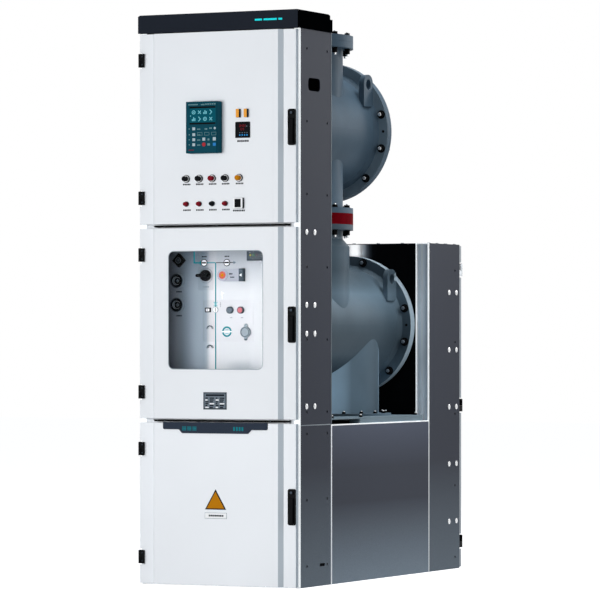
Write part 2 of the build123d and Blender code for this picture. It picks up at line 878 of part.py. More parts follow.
def top_blank_cover():
    return rod_z(0, neck_axis_y, (top_cover_z - top_cover, top_cover_z), neck_flange_r)


def support_plate():
    x = half_width - support_inset
    y = (column_y + seam, front_y + lower_tank_end - support_rear)
    return block((-x, x), y, (deck_z - support_thickness, deck_z))


def support_rails():
    x = (half_width - support_inset - support_rail_width, half_width - support_inset)
    y = (front_y + support_rail_front, front_y + lower_tank_end - support_rear)
    rail = block(x, y, (base_height, base_height + rail_top_height))
    return [rail, mirrored(rail)]


# ---- Assembly ----------------------------------------------------------------------------

upper_side_panel = upper_side()
lower_side_panel = lower_side()
base_side_panel = base_side()
rear_side_panel = rear_side()
for piece, name in ((upper_side_panel, "column_side_panel_upper"),
                    (lower_side_panel, "column_side_panel_lower"),
                    (base_side_panel, "base_side_panel"),
                    (rear_side_panel, "rear_side_panel")):
    save(piece, f"{name}_right")
    save(mirrored(piece), f"{name}_left")

save(Compound(base_frame()), "base_frame")
save(floor_plate(), "floor_plate")
post = front_post()
save(Compound([post, mirrored(post)]), "front_posts")
save(Compound(cross_rails()), "cross_rails")
save(Compound(shelves()), "compartment_shelves")
save(column_back_plate(), "column_back_plate")
save(Compound(roof_plates()), "roof_plates")
save(top_cap(), "top_cap")
save(base_top_plate(), "base_top_plate")
save(rear_front_wall(), "rear_front_wall")

doors = {
    "lower_door": (door_bottom, lower_split_z - split_half),
    "middle_door": (lower_split_z + split_half, upper_split_z - split_half),
    "upper_door": (upper_split_z + split_half, column_height - door_bottom),
}
fixed_hinges = []
for name, (z_low, z_high) in doors.items():
    heights = pinned_heights(z_low, z_high)
    leaf = front_leaf(z_low, z_high, heights)
    if name == "middle_door":
        leaf -= window_cut()
    save(leaf, f"{name}_leaf")
    save(Compound([door_hinge(z) for z in heights]), f"{name}_hinges")
    save(handle((z_low + z_high) / 2 - handle_lift), f"{name}_handle")
    fixed_hinges += [fixed_hinge(z) for z in heights]

rear_heights = [rear_hinge_bottom, rear_hinge_middle, rear_column_height - rear_hinge_top_inset]
save(rear_leaf(rear_heights), "rear_door_leaf")
save(Compound([turned(door_hinge(z)) for z in rear_heights]), "rear_door_hinges")
save(turned(handle(rear_column_height / 2)), "rear_door_handle")
fixed_hinges += [turned(fixed_hinge(z)) for z in rear_heights]
save(Compound(fixed_hinges), "fixed_hinges")

save(window_pane(), "window_pane")
save(Compound(trim_bars()), "trim_bars")
save(label_rail(), "label_rail")
save(relay(), "protection_relay")
save(panel_meter(), "panel_meter")
save(Compound(test_blocks()), "test_blocks")
save(Compound(pilot_devices()), "pilot_devices")
save(operating_panel(), "operating_panel")
save(Compound(operating_controls()), "operating_controls")

save(upper_tank(), "upper_tank")
save(crowned_cover(upper_tank_z, upper_tank_end), "upper_tank_rear_cover")
save(lower_tank(), "lower_tank")
save(rear_cover(lower_tank_z, lower_tank_end), "lower_tank_rear_cover")
save(Compound(front_covers()), "tank_front_covers")
save(insulator_ring(), "insulator_ring")
save(top_blank_cover(), "top_blank_cover")
save(support_plate(), "tank_support_plate")
save(Compound(support_rails()), "tank_support_rails")
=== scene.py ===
"""Finishes, small fittings and studio for the gas insulated breaker cubicle."""

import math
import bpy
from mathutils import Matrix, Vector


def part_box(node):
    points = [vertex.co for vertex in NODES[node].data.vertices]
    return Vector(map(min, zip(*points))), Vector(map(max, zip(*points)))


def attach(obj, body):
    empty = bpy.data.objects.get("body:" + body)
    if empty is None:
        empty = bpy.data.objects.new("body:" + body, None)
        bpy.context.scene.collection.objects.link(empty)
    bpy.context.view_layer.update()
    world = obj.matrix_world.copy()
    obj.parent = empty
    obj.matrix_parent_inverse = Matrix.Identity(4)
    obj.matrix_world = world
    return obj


bl_info = {
    "name": "Gas insulated breaker cubicle",
    "version": (1, 0, 0),
    "blender": (4, 5, 0),
    "location": "View3D > Sidebar > Cubicle",
    "description": "Finishes, bolts, devices and studio for a gas insulated breaker cubicle",
    "category": "Object",
}

import bmesh
import bpy
from bpy.props import FloatProperty, FloatVectorProperty, IntProperty, PointerProperty
from mathutils import Matrix, Vector

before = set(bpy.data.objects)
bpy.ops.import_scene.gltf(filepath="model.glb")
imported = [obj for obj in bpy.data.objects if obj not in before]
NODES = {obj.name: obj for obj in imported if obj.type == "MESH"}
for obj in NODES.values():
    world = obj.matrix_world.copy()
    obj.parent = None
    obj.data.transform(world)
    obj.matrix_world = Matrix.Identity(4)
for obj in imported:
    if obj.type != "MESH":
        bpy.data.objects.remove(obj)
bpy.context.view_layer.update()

# ---- Places read from the frame -----------------------------------------------------------

SIDES = ("right", "left")
FRONT_DOORS = ("upper_door", "middle_door", "lower_door")
DOORS = (*FRONT_DOORS, "rear_door")


def span(node):
    """A node's low and high corners."""
    low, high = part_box(node)
    return Vector(low), Vector(high)


def around(middle, width):
    """The low and high ends of a width about its middle."""
    return middle - width / 2, middle + width / 2


PANEL_LOW, PANEL_HIGH = span("column_side_panel_upper_right")
REAR_PANEL_LOW, REAR_PANEL_HIGH = span("rear_side_panel_right")
SIDE_X = PANEL_HIGH.x
FRONT_Y = PANEL_LOW.y
COLUMN_Y = PANEL_HIGH.y
BAY_Y = REAR_PANEL_LOW.y
REAR_Y = REAR_PANEL_HIGH.y
REAR_TOP = REAR_PANEL_HIGH.z
BASE_TOP = span("base_side_panel_right")[1].z
DOOR_FACE = span("upper_door_leaf")[0].y
PANEL_FACE = span("operating_panel")[0].y
NECK_Y = sum(corner.y for corner in span("insulator_ring")) / 2
LEG_Y = FRONT_Y + 0.985
FOLD_X = SIDE_X - 0.062

# Controls on the operating panel, x and z
KEY_LOCK = (-0.254, 1.371)
SOCKET_X = -0.2585
SOCKET_HEIGHTS = (1.284, 1.182)
KNOB = (-0.128, 1.306)
INTERLOCK = (-0.042, 1.307)
LAMP_Z = 1.390
BUTTON_Z = 1.159
INDICATOR = (-0.028, 1.068)
PORT = (0.063, 1.066)

# The same controls' outer limits: left, right, low, high
SOCKET_AREA = (-0.32, -0.20, 1.10, 1.33)
INTERLOCK_AREA = (-0.085, 0.060, 1.27, 1.34)
LATCH_X = 0.0361
LAMP_AREA = (0.07, 0.20, 1.34, 1.45)
BUTTON_AREA = (-0.03, 0.06, BUTTON_Z - 0.02, BUTTON_Z + 0.02)
PORT_AREA = (0.035, 0.100, PORT[1] - 0.05, PORT[1] + 0.05)
COUNTER_AREA = (-0.126, -0.086, 0.90, 1.12)

# Columns and rows of the pilot devices on the upper door
PILOT_LOW, PILOT_HIGH = span("pilot_devices")
PILOT_X = PILOT_LOW.x + 0.0135
PILOT_STEP = 0.0615
PILOT_ROWS = (PILOT_HIGH.z - 0.0135, PILOT_LOW.z + 0.022)
LAST_PILOT_X = PILOT_HIGH.x - 0.022

# ---- Settings that a user would change ----------------------------------------------------


def srgb(text):
    """A linear colour from a hexadecimal one."""
    values = [int(text[i:i + 2], 16) / 255 for i in (1, 3, 5)]
    return tuple(v / 12.92 if v <= 0.04045 else ((v + 0.055) / 1.055) ** 2.4 for v in values)


def colour_property(name, description, text):
    return FloatVectorProperty(name=name, description=description, subtype="COLOR", size=3,
                               min=0.0, max=1.0, default=srgb(text))


def count_property(name, description, default):
    return IntProperty(name=name, description=description, default=default, min=4, max=48)


def length_property(name, description, default, low, high):
    return FloatProperty(name=name, description=description, default=default, min=low, max=high,
                         unit="LENGTH")


class CubicleColours(bpy.types.PropertyGroup):
    door: colour_property("Doors", "Powder coat of the doors", "#E6EAEF")
    panel: colour_property("Side panels", "Metallic paint of the side panels", "#343945")
    # Painted floor reflection: the side panels' lighter colour near the floor.
    panel_floor_reflection: colour_property("Side panels, low", "The panels' tone near the floor", "#6C7985")
    cap: colour_property("Cap", "Satin paint of the top cap", "#1C212A")
    tank: colour_property("Tanks", "Paint of the gas tanks", "#526778")
    insulator: colour_property("Insulator", "Cast resin of the ring between the tanks", "#6C0411")
    accent: colour_property("Accent", "The short bars on the cap", "#1FD6DC")
    mark: colour_property("Rail marks", "The marks on the label rail and the mimic lines", "#15808C")
    relay: colour_property("Relay", "Front foil of the protection relay", "#0D4453")
    screen: colour_property("Screens", "Lit ground of the relay's display", "#03505F")
    amber: colour_property("Amber", "The triangular plate and the amber device", "#BE7A0C")
    red: colour_property("Red", "Red push buttons and lamps", "#7D1020")


class CubicleSizes(bpy.types.PropertyGroup):
    flange_bolts: count_property("Flange bolts", "Bolts round each tank and neck flange", 12)
    leg_bolts: count_property("Leg bolts", "Bolts round the lower tank's foot", 20)
    flange_nut: length_property("Flange nut", "A flange nut across its corners", 0.031, 0.005, 0.1)
    neck_nut: length_property("Neck nut", "A neck nut across its corners", 0.024, 0.005, 0.1)
    foot_nut: length_property("Foot nut", "A nut on the tank's foot across its corners", 0.0165, 0.005, 0.1)
    # The edge strip is the width of the painted highlight strips.
    edge_strip: length_property("Edge strip", "Width of the bright strips on the seams", 0.0065, 0.001, 0.02)
    fold_width: length_property("Fold width", "How far each door's raised middle runs on", 0.0235, 0.005,
                                0.04)
    plug: length_property("Plug", "Diameter of the plugs in the side panels", 0.024, 0.005, 0.05)


def colours():
    return bpy.context.scene.cubicle_colours


def sizes():
    return bpy.context.scene.cubicle_sizes


# ---- Materials ----------------------------------------------------------------------------


def as_colour(tone):
    """A linear colour from a hexadecimal one, from a level of grey or from a colour."""
    if isinstance(tone, str):
        return srgb(tone)
    if isinstance(tone, (int, float)):
        return (tone,) * 3
    return tone


def scaled(tone, factor):
    return tuple(min(1.0, c * factor) for c in as_colour(tone))


class Finish:
    """A material being put together from procedural nodes on Object coordinates."""

    def __init__(self, name, tone, roughness, metallic=0.0, specular=0.5):
        self.material = bpy.data.materials.new(name)
        self.material.use_nodes = True
        self.tree = self.material.node_tree
        self.shader = self.tree.nodes["Principled BSDF"]
        self.shader.inputs["Base Color"].default_value = (*as_colour(tone), 1.0)
        self.shader.inputs["Roughness"].default_value = roughness
        self.shader.inputs["Metallic"].default_value = metallic
        self.shader.inputs["Specular IOR Level"].default_value = specular
        self.place = self.add("ShaderNodeTexCoord").outputs["Object"]

    def add(self, kind, **values):
        node = self.tree.nodes.new(kind)
        for key, value in values.items():
            setattr(node, key, value)
        return node

    def link(self, source, target):
        self.tree.links.new(source, target)

    def noise(self, scale, detail=2.0, rough=0.5):
        node = self.add("ShaderNodeTexNoise")
        node.inputs["Scale"].default_value = scale
        node.inputs["Detail"].default_value = detail
        node.inputs["Roughness"].default_value = rough
        self.link(self.place, node.inputs["Vector"])
        return node.outputs["Fac"]

    def range(self, value, from_low, from_high, to_low=0.0, to_high=1.0):
        node = self.add("ShaderNodeMapRange")
        for key, number in zip(("From Min", "From Max", "To Min", "To Max"),
                               (from_low, from_high, to_low, to_high)):
            node.inputs[key].default_value = number
        self.link(value, node.inputs["Value"])
        return node.outputs["Result"]

    def along(self, axis, from_low, from_high, to_low=0.0, to_high=1.0, mirrored=False):
        """A value that follows the object's X, Y or Z, on both sides of 0 alike if mirrored."""
        parts = self.add("ShaderNodeSeparateXYZ")
        self.link(self.place, parts.inputs["Vector"])
        value = parts.outputs[axis]
        if mirrored:
            outward = self.add("ShaderNodeMath", operation="ABSOLUTE")
            self.link(value, outward.inputs[0])
            value = outward.outputs["Value"]
        return self.range(value, from_low, from_high, to_low, to_high)

    def mix(self, factor, first, second, blend="MIX"):
        node = self.add("ShaderNodeMix", data_type="RGBA", blend_type=blend)
        if isinstance(factor, float):
            node.inputs[0].default_value = factor
        else:
            self.link(factor, node.inputs[0])
        for socket, value in ((node.inputs[6], first), (node.inputs[7], second)):
            if isinstance(value, bpy.types.NodeSocket):
                self.link(value, socket)
            else:
                socket.default_value = (*as_colour(value), 1.0)
        return node.outputs[2]

    def times(self, first, second):
        return self.mix(1.0, first, second, "MULTIPLY")

    def ramp(self, value, stops):
        """A run of colours; each stop is a place from 0 to 1 and a colour or level."""
        node = self.add("ShaderNodeValToRGB")
        elements = node.color_ramp.elements
        for element, (position, tone) in ((elements[0], stops[0]), (elements[1], stops[-1])):
            element.position = position
            element.color = (*as_colour(tone), 1.0)
        for position, tone in stops[1:-1]:
            elements.new(position).color = (*as_colour(tone), 1.0)
        self.link(value, node.inputs["Fac"])
        return node.outputs["Color"]

    def vary(self, noise, tone, low, high, from_low=0.3, from_high=0.7):
        """A colour broken up by a noise, between two factors of itself."""
        return self.mix(self.range(noise, from_low, from_high), scaled(tone, low), scaled(tone, high))

    def colour(self, output):
        self.link(output, self.shader.inputs["Base Color"])

    def roughness(self, noise, low, high):
        self.link(self.range(noise, 0.3, 0.7, low, high), self.shader.inputs["Roughness"])

    def glow(self, output, strength):
        self.link(output, self.shader.inputs["Emission Color"])
        self.shader.inputs["Emission Strength"].default_value = strength

    def bump(self, value, strength, distance, edge=0.0):
        """Surface relief, over edges that are rounded in the shading where edge is given."""
        node = self.add("ShaderNodeBump")
        node.inputs["Strength"].default_value = strength
        node.inputs["Distance"].default_value = distance
        self.link(value, node.inputs["Height"])
        if edge:
            rounded = self.add("ShaderNodeBevel", samples=4)
            rounded.inputs["Radius"].default_value = edge
            self.link(rounded.outputs["Normal"], node.inputs["Normal"])
        self.link(node.outputs["Normal"], self.shader.inputs["Normal"])


def powder_coat(name, tone, roughness=0.4):
    """A satin powder coat: a faint orange peel and a trace of tone."""
    finish = Finish(name, tone, roughness, specular=0.35)
    peel = finish.noise(420.0)
    finish.colour(finish.vary(finish.noise(2.2, 3.0), tone, 0.98, 1.01, 0.35, 0.65))
    finish.roughness(peel, roughness - 0.04, roughness + 0.05)
    finish.bump(peel, 0.08, 0.0006, edge=0.0012)
    return finish.material


def grained_metal(name, tone, floor_reflection_tone, top_highlight_tone=None, floor_reflection_top=0.50):
    """The side panels' metallic paint: fine grain, a painted floor reflection that lightens them towards the
    floor and, where given, a painted highlight along the top edge.
    """
    finish = Finish(name, tone, 0.5, 0.1, 0.06)
    grain = finish.noise(300.0, 4.0, 0.7)
    # Painted floor reflection: lighter towards the floor; painted highlight: a lighter band at the top edge.
    shade = finish.mix(finish.along("Z", 0.0, floor_reflection_top, 1.0, 0.0), tone, floor_reflection_tone)
    if top_highlight_tone:
        shade = finish.mix(finish.along("Z", 0.48, 0.68), shade, top_highlight_tone)
    fleck = finish.mix(finish.range(grain, 0.32, 0.68), (0.84, 0.84, 0.85), (1.15, 1.15, 1.14))
    finish.colour(finish.times(shade, fleck))
    finish.roughness(grain, 0.4, 0.55)
    finish.bump(grain, 0.1, 0.0008, edge=0.002)
    return finish.material


def belly_painted_shade(finish, paint):
    """Painted shade: darkens the lower tank's belly in front of its leg."""
    painted_light_tones = ((0.0, 0.32), (0.3, 0.7), (0.7, 1.15))
    forward = finish.ramp(finish.along("Y", LEG_Y - 0.2, LEG_Y + 0.1), painted_light_tones)
    return finish.times(paint, finish.mix(finish.along("Z", 0.88, 0.97, 1.0, 0.0), 1.0, forward))


def leg_painted_light_tones(finish, paint):
    """Paints light on the leg's front and its far edge, and paints shade on its side."""
    painted_light_tones = ((0.0, 2.3), (0.08, 2.3), (0.26, 0.8), (0.5, 0.62), (0.68, 0.48), (0.82, 0.52), (0.90, 1.9))
    return finish.times(paint, finish.ramp(finish.along("Y", LEG_Y - 0.23, LEG_Y + 0.13), painted_light_tones))


def casting_paint(name, tone, painted_light_levels=None, painted_light_tones=None):
    """Paint over a sand casting: soft unevenness under a satin coat; optional pairs of height and factor
    paint light and shade by height, and an optional function paints further light and shade.
    """
    finish = Finish(name, tone, 0.5, specular=0.06)
    sand = finish.noise(190.0, 3.0, 0.6)
    paint = finish.vary(finish.noise(7.0), tone, 0.92, 1.06)
    if painted_light_levels:
        low, high = painted_light_levels[0][0], painted_light_levels[-1][0]
        stops = [((z - low) / (high - low), level / 2) for z, level in painted_light_levels]
        paint = finish.times(paint, finish.ramp(finish.along("Z", low, high), stops))
    if painted_light_tones:
        paint = painted_light_tones(finish, paint)
    finish.colour(paint)
    finish.roughness(sand, 0.36, 0.5)
    finish.bump(sand, 0.14, 0.0012, edge=0.003)
    return finish.material


def satin_black(name, tone, roughness=0.42, specular=0.03):
    finish = Finish(name, tone, roughness, specular=specular)
    grain = finish.noise(700.0)
    finish.colour(finish.vary(grain, tone, 0.85, 1.2))
    finish.roughness(grain, roughness - 0.05, roughness + 0.08)
    finish.bump(grain, 0.15, 0.0004, edge=0.001)
    return finish.material


def moulded_plastic(name, tone, roughness=0.48):
    finish = Finish(name, tone, roughness, specular=0.02)
    spark = finish.noise(1400.0)
    finish.colour(finish.vary(spark, tone, 0.93, 1.07))
    finish.bump(spark, 0.2, 0.0003, edge=0.0008)
    return finish.material


def printed_ink(name, tone, glow=0.0):
    """A printed or lit mark: its colour barely broken up."""
    finish = Finish(name, tone, 0.5, specular=0.02)
    shade = finish.vary(finish.noise(900.0), tone, 0.9, 1.1)
    finish.colour(shade)
    if glow:
        finish.glow(shade, glow)
    return finish.material


def bright_metal(name, tone, roughness=0.3, metallic=0.85):
    """Zinc plate or bright steel: cool, a little cloudy."""
    finish = Finish(name, tone, roughness, metallic)
    cloud = finish.noise(60.0, 3.0)
    finish.colour(finish.vary(cloud, tone, 0.85, 1.1))
    finish.roughness(cloud, roughness - 0.08, roughness + 0.12)
    finish.bump(cloud, 0.05, 0.0004, edge=0.0008)
    return finish.material


def cast_resin(name, tone):
    finish = Finish(name, tone, 0.55, specular=0.005)
    cloud = finish.noise(30.0, 3.0)
    finish.colour(finish.vary(cloud, tone, 0.85, 1.15))
    finish.bump(cloud, 0.04, 0.0006, edge=0.001)
    return finish.material


def clear_pane(name):
    """The window's pane: thin, clear and faintly cool."""
    finish = Finish(name, (0.97, 0.985, 0.99), 0.03)
    finish.shader.inputs["Transmission Weight"].default_value = 1.0
    finish.shader.inputs["IOR"].default_value = 1.08
    finish.roughness(finish.noise(6.0, 3.0), 0.0, 0.04)
    return finish.material


def mechanism_paint_and_shade(name, level=1.0):
    """The operating panel: white paint, with painted shade that turns it grey towards the left."""
    finish = Finish(name, "#DADADD", 0.5, specular=0.1)
    painted_light_tones = ((0.0, "#646872"), (0.16, "#8D95A0"), (0.32, "#96A4B1"), (0.48, "#949FAC"), (0.63, "#8D99A4"),
             (0.71, "#8995A0"), (0.77, "#9AA3AD"), (0.83, "#CFCDD3"), (0.93, "#DFDDDF"), (1.0, "#D4D5D9"))
    shade = finish.ramp(finish.along("X", -0.31, -0.07), [(at, scaled(tone, level)) for at, tone in painted_light_tones])
    # Painted shade near the top, under the compartment's roof.
    upper = finish.mix(finish.along("Z", 1.24, 1.38), 1.0, (0.60, 0.63, 0.67))
    # Painted shadow low down, towards the middle of the panel.
    middle = finish.ramp(finish.along("X", -0.05, 0.13), ((0.0, 0.0), (0.4, 0.8), (0.7, 0.8), (1.0, 0.15)))
    lower = finish.times(finish.along("Z", 0.885, 0.955, 1.0, 0.0), middle)
    finish.colour(finish.mix(lower, finish.times(shade, upper), "#8795A2"))
    grain = finish.noise(500.0)
    finish.roughness(grain, 0.42, 0.56)
    finish.bump(grain, 0.06, 0.0005)
    return finish.material


def bay_wall_painted_reflection(name):
    """The wall behind the lower tank: a dark sheet with a painted reflection, grey, then a bright band, then
    nearly black at the right.
    """
    finish = Finish(name, "#08090C", 0.5, specular=0.02)
    across = finish.along("X", -0.08, 0.12)
    shade = finish.ramp(across, ((0.0, "#7E858C"), (0.35, "#FFFFFF"), (0.616, "#FFFFFF"), (0.664, "#DDE2E7"),
                                 (0.736, "#767C84"), (0.808, "#33383E"), (0.88, "#0E1013"), (1.0, "#050608")))
    cloud = finish.mix(finish.range(finish.noise(40.0, 3.0), 0.3, 0.7), 0.95, 1.05)
    finish.colour(finish.times(shade, cloud))
    # Painted glow: the bright band glows from 1.36 m upward.
    band = finish.ramp(across, ((0.2, 0.0), (0.38, 0.7), (0.5, 0.7), (0.55, 0.36), (0.6, 0.04), (0.67, 0.0)))
    finish.glow(finish.times(band, finish.along("Z", 1.36, 1.42)), 1.0)
    return finish.material


def folded_edge_painted_light(name):
    """The rear column's front fold: bluish metal with painted light, a painted highlight at its inner edge
    that dims towards its outer edge, and lighter at some heights.
    """
    finish = Finish(name, "#DCE6EE", 0.45, specular=0.1)
    across = finish.along("X", FOLD_X, SIDE_X, mirrored=True)
    shade = finish.ramp(across, ((0.0, "#FFFFFF"), (0.2, "#CBD8E2"), (0.45, "#E3EDF5"), (0.75, "#C3D0DB"),
                                 (1.0, "#A3B0BB")))
    light = finish.ramp(finish.along("Z", 0.70, 1.40), ((0.0, 1.5), (0.35, 1.1), (0.7, 1.35), (1.0, 1.2)))
    finish.colour(finish.times(shade, light))
    finish.bump(finish.noise(200.0, 3.0), 0.08, 0.0006)
    return finish.material


# Painted light and shade on the lower tank by height, as pairs of height and factor: a painted highlight
# along its top, lighter near its leg, darker between.
LOWER_TANK_TONE = scaled("#556774", 2.0)
LOWER_TANK_PAINTED_LIGHT = ((0.70, 1.3), (0.92, 1.1), (1.00, 0.78), (1.06, 0.74), (1.11, 0.86), (1.18, 1.25),
                     (1.235, 1.65), (1.28, 1.1), (1.335, 0.75), (1.40, 0.85), (1.56, 0.74))


def make_materials():
    """Every finish on the cubicle, by name."""
    c = colours()
    return {
        "door": powder_coat("door_powder_coat", c.door),
        # Painted light: a lighter copy of the doors' coat for the lower door.
        "door_low_lit": powder_coat("lower_door_lit_coat", scaled(c.door, 1.07)),
        "frame": powder_coat("frame_powder_coat", scaled(c.door, 0.96), 0.42),
        "mechanism": mechanism_paint_and_shade("operating_panel_paint_and_shade"),
        "plate": powder_coat("control_plate_paint", "#CFCFD4", 0.45),
        # The counter plates take a slightly darker copy of the panel's paint with the same painted shade.
        "plate_grey": mechanism_paint_and_shade("counter_plate_paint_and_shade", 0.88),
        "panel": grained_metal("side_panel_metal_floor_reflection", c.panel, c.panel_floor_reflection),
        # Painted light: a lighter copy of the side panels' metal, with a stronger painted floor reflection
        # and a painted highlight along the top.
        "base_panel_lit": grained_metal("base_panel_lit_metal", scaled(c.panel, 1.1), scaled(c.panel_floor_reflection, 1.58),
                                    scaled(c.panel, 2.5), 0.34),
        "bay_wall": bay_wall_painted_reflection("bay_wall_painted_reflection"),
        "fold": folded_edge_painted_light("folded_edge_painted_light"),
        # Painted shade for the doors' bevels.
        "door_shade": powder_coat("door_bevel_shade", "#BCC6CF", 0.45),
        # Painted shade for the doors' right-facing sides.
        "door_side": powder_coat("door_side_shade", "#BCCCD8", 0.45),
        "support": casting_paint("support_paint", "#7E929E"),
        # Nearly black, also for painted shade in the panels' holes and under the roof.
        "dark_metal": satin_black("dark_metal_painted_shade", "#0B0D10", 0.5, 0.1),
        "rear_metal": powder_coat("rear_door_paint", "#B9C3CB", 0.42),
        "cap": satin_black("cap_satin", c.cap, 0.55),
        # Painted shade: a much darker copy of the cap's paint for its ends.
        "cap_side": satin_black("cap_side_painted_shade", scaled(c.cap, 0.08), 0.6, 0.0),
        "tank": casting_paint("tank_paint", c.tank),
        "tank_low_painted_light": casting_paint("lower_tank_painted_light", LOWER_TANK_TONE, LOWER_TANK_PAINTED_LIGHT, belly_painted_shade),
        # Painted highlights: lighter copies of the tank paint for the flange faces and rims.
        "tank_rim": casting_paint("tank_flange_painted_highlight", scaled("#5A6872", 2.4)),
        "tank_edge": casting_paint("tank_edge_painted_highlight", scaled("#8F9FAA", 1.55)),
        "tank_leg": casting_paint("tank_leg_painted_light", LOWER_TANK_TONE, painted_light_tones=leg_painted_light_tones),
        "insulator": cast_resin("insulator_resin", c.insulator),
        "black": satin_black("black_fittings", "#08090B"),
        "plastic": moulded_plastic("black_plastic", "#0E1013"),
        "zinc": bright_metal("zinc_plate", "#C8CDD2"),
        "bright": bright_metal("bright_steel", "#F4F6F8", 0.22, 0.6),
        # Painted highlight for the folded edges, with a glow.
        "seam": printed_ink("seam_paint", "#F1F6FA", 0.5),
        "edge": powder_coat("bright_edge", "#F6F8FA", 0.3),
        "edge_dull": powder_coat("dull_edge", "#8996A0", 0.35),
        "relay": moulded_plastic("relay_foil", c.relay),
        # Painted light: a lighter copy of the relay's foil for its sides.
        "relay_side": moulded_plastic("relay_housing_painted_light", scaled(c.relay, 1.4), 0.5),
        "screen": printed_ink("relay_screen", c.screen, 0.05),
        "icon": printed_ink("screen_icons", "#6FBCC9", 0.15),
        "key": moulded_plastic("relay_keys", "#B3C4CC"),
        "key_red": moulded_plastic("relay_red_key", "#A8323A"),
        "key_blue": moulded_plastic("relay_blue_key", "#2F7FC4"),
        "foil_print": printed_ink("foil_print", "#6F9499"),
        "orange": moulded_plastic("orange_plastic", "#F0A542"),
        "navy": moulded_plastic("test_block_body", "#1E2A38"),
        "slate": satin_black("rail_slate", "#2B3442", 0.4),
        "glass": clear_pane("window_glass"),
        "ink": printed_ink("label_ink", "#1B2027"),
        "teal": printed_ink("teal_marks", c.mark),
        "teal_pale": printed_ink("pale_teal_marks", "#74B7C0"),
        "accent": printed_ink("cap_accent", c.accent, 0.2),
        "white": powder_coat("white_parts", "#F2F4F7"),
        "grey": moulded_plastic("grey_parts", "#6F7B86"),
        "grey_dark": moulded_plastic("dark_grey_parts", "#4A545E"),
        "amber": moulded_plastic("amber_parts", c.amber),
        "red": moulded_plastic("red_parts", c.red, 0.35),
        "coral": moulded_plastic("coral_parts", "#C8604F"),
        "rose": moulded_plastic("rose_parts", "#C9747C"),
        "latch": moulded_plastic("latch_plate", "#AAADB9"),
        "black_ink": printed_ink("black_bands", "#0A0C0F"),
        "green": printed_ink("green_lamp", "#3F9A62", 0.2),
        "yellow": printed_ink("yellow_lamp", "#C9B92E", 0.2),
        "digit_red": printed_ink("red_digits", "#A01E28", 0.3),
        "digit_blue": printed_ink("blue_digits", "#2A86C8", 0.35),
        "rubber": satin_black("rubber_seal", "#14161A", 0.6, 0.2),
    }


MATERIALS = {}
NODE_FINISH = {
    "panel": [*(f"{panel}_{side}" for side in SIDES
                for panel in ("column_side_panel_upper", "column_side_panel_lower", "rear_side_panel")),
              "column_back_plate", "roof_plates", "base_top_plate"],
    "base_panel_lit": [f"base_side_panel_{side}" for side in SIDES],
    "bay_wall": ["rear_front_wall"],
    "rear_metal": ["rear_door_leaf"],
    "door": ["upper_door_leaf", "middle_door_leaf"],
    "door_low_lit": ["lower_door_leaf"],
    "frame": ["front_posts", "cross_rails"],
    "mechanism": ["operating_panel"],
    "zinc": ["base_frame", "floor_plate", "compartment_shelves"],
    "cap": ["top_cap"],
    "tank": ["upper_tank", "upper_tank_rear_cover", "lower_tank_rear_cover", "tank_front_covers",
             "top_blank_cover"],
    "tank_low_painted_light": ["lower_tank"],
    "support": ["tank_support_plate", "tank_support_rails"],
    "insulator": ["insulator_ring"],
    "black": ["fixed_hinges", "trim_bars",
              *(f"{door}_{part}" for door in DOORS for part in ("hinges", "handle"))],
    "plastic": ["panel_meter", "pilot_devices", "operating_controls"],
    "relay": ["protection_relay"],
    "navy": ["test_blocks"],
    "slate": ["label_rail"],
    "glass": ["window_pane"],
}


def repaint(node, keys, choose):
    """Gives a node's faces other finishes: choose turns a face's centre and normal into a key or None."""
    mesh = NODES[node].data
    first = len(mesh.materials)
    for key in keys:
        mesh.materials.append(MATERIALS[key])
    for face in mesh.polygons:
        key = choose(face.center, face.normal)
        if key:
            face.material_index = first + keys.index(key)


def tint(node, key, test):
    """Gives another finish to the faces whose centre and normal pass a test."""
    repaint(node, [key], lambda at, normal: key if test(at, normal) else None)


# ---- Mesh helpers -------------------------------------------------------------------------

FRONT = (0, -1, 0)
REARWARD = (0, 1, 0)
UP = (0, 0, 1)
DOWN = (0, 0, -1)


def link_object(name, data):
    made = bpy.data.objects.new(name, data)
    bpy.context.scene.collection.objects.link(made)
    return made


def finish_piece(bm, name, materials, body="cabinet"):
    """Turns a bmesh into a piece that rides on a body."""
    bmesh.ops.recalc_face_normals(bm, faces=bm.faces)
    mesh = bpy.data.meshes.new(name)
    bm.to_mesh(mesh)
    bm.free()
    piece = link_object(name, mesh)
    for key in materials:
        mesh.materials.append(MATERIALS[key])
    mesh.shade_smooth()
    mesh.set_sharp_from_angle(angle=math.radians(32))
    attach(piece, body)


def soften(bm, edges, width):
    bmesh.ops.bevel(bm, geom=list(edges), offset=width, segments=2, profile=0.5, affect="EDGES",
                    material=-1)


def raise_faces(bm, faces, step):
    """Extrudes faces by a step, keeps the first ones, and returns the new faces."""
    grown = bmesh.ops.extrude_face_region(bm, geom=faces, use_keep_orig=True)["geom"]
    bmesh.ops.translate(bm, verts=[v for v in grown if isinstance(v, bmesh.types.BMVert)], vec=step)
    return [face for face in grown if isinstance(face, bmesh.types.BMFace)]


def made_faces(made, material):
    """The faces that an operator made, given their material."""
    faces = {f for v in made["verts"] for f in v.link_faces}
    for face in faces:
        face.material_index = material
    return faces


def add_bar(bm, sides, radius, depth, matrix, bevel=0.0, material=0):
    """A round or many-sided bar along the matrix's Z, from 0 to depth, with softened end edges."""
    made = bmesh.ops.create_cone(bm, cap_ends=True, segments=sides, radius1=radius, radius2=radius,
                                 depth=depth, matrix=matrix @ Matrix.Translation((0, 0, depth / 2)))
    faces = made_faces(made, material)
    if bevel:
        soften(bm, {e for f in faces if len(f.verts) == sides for e in f.edges}, bevel)


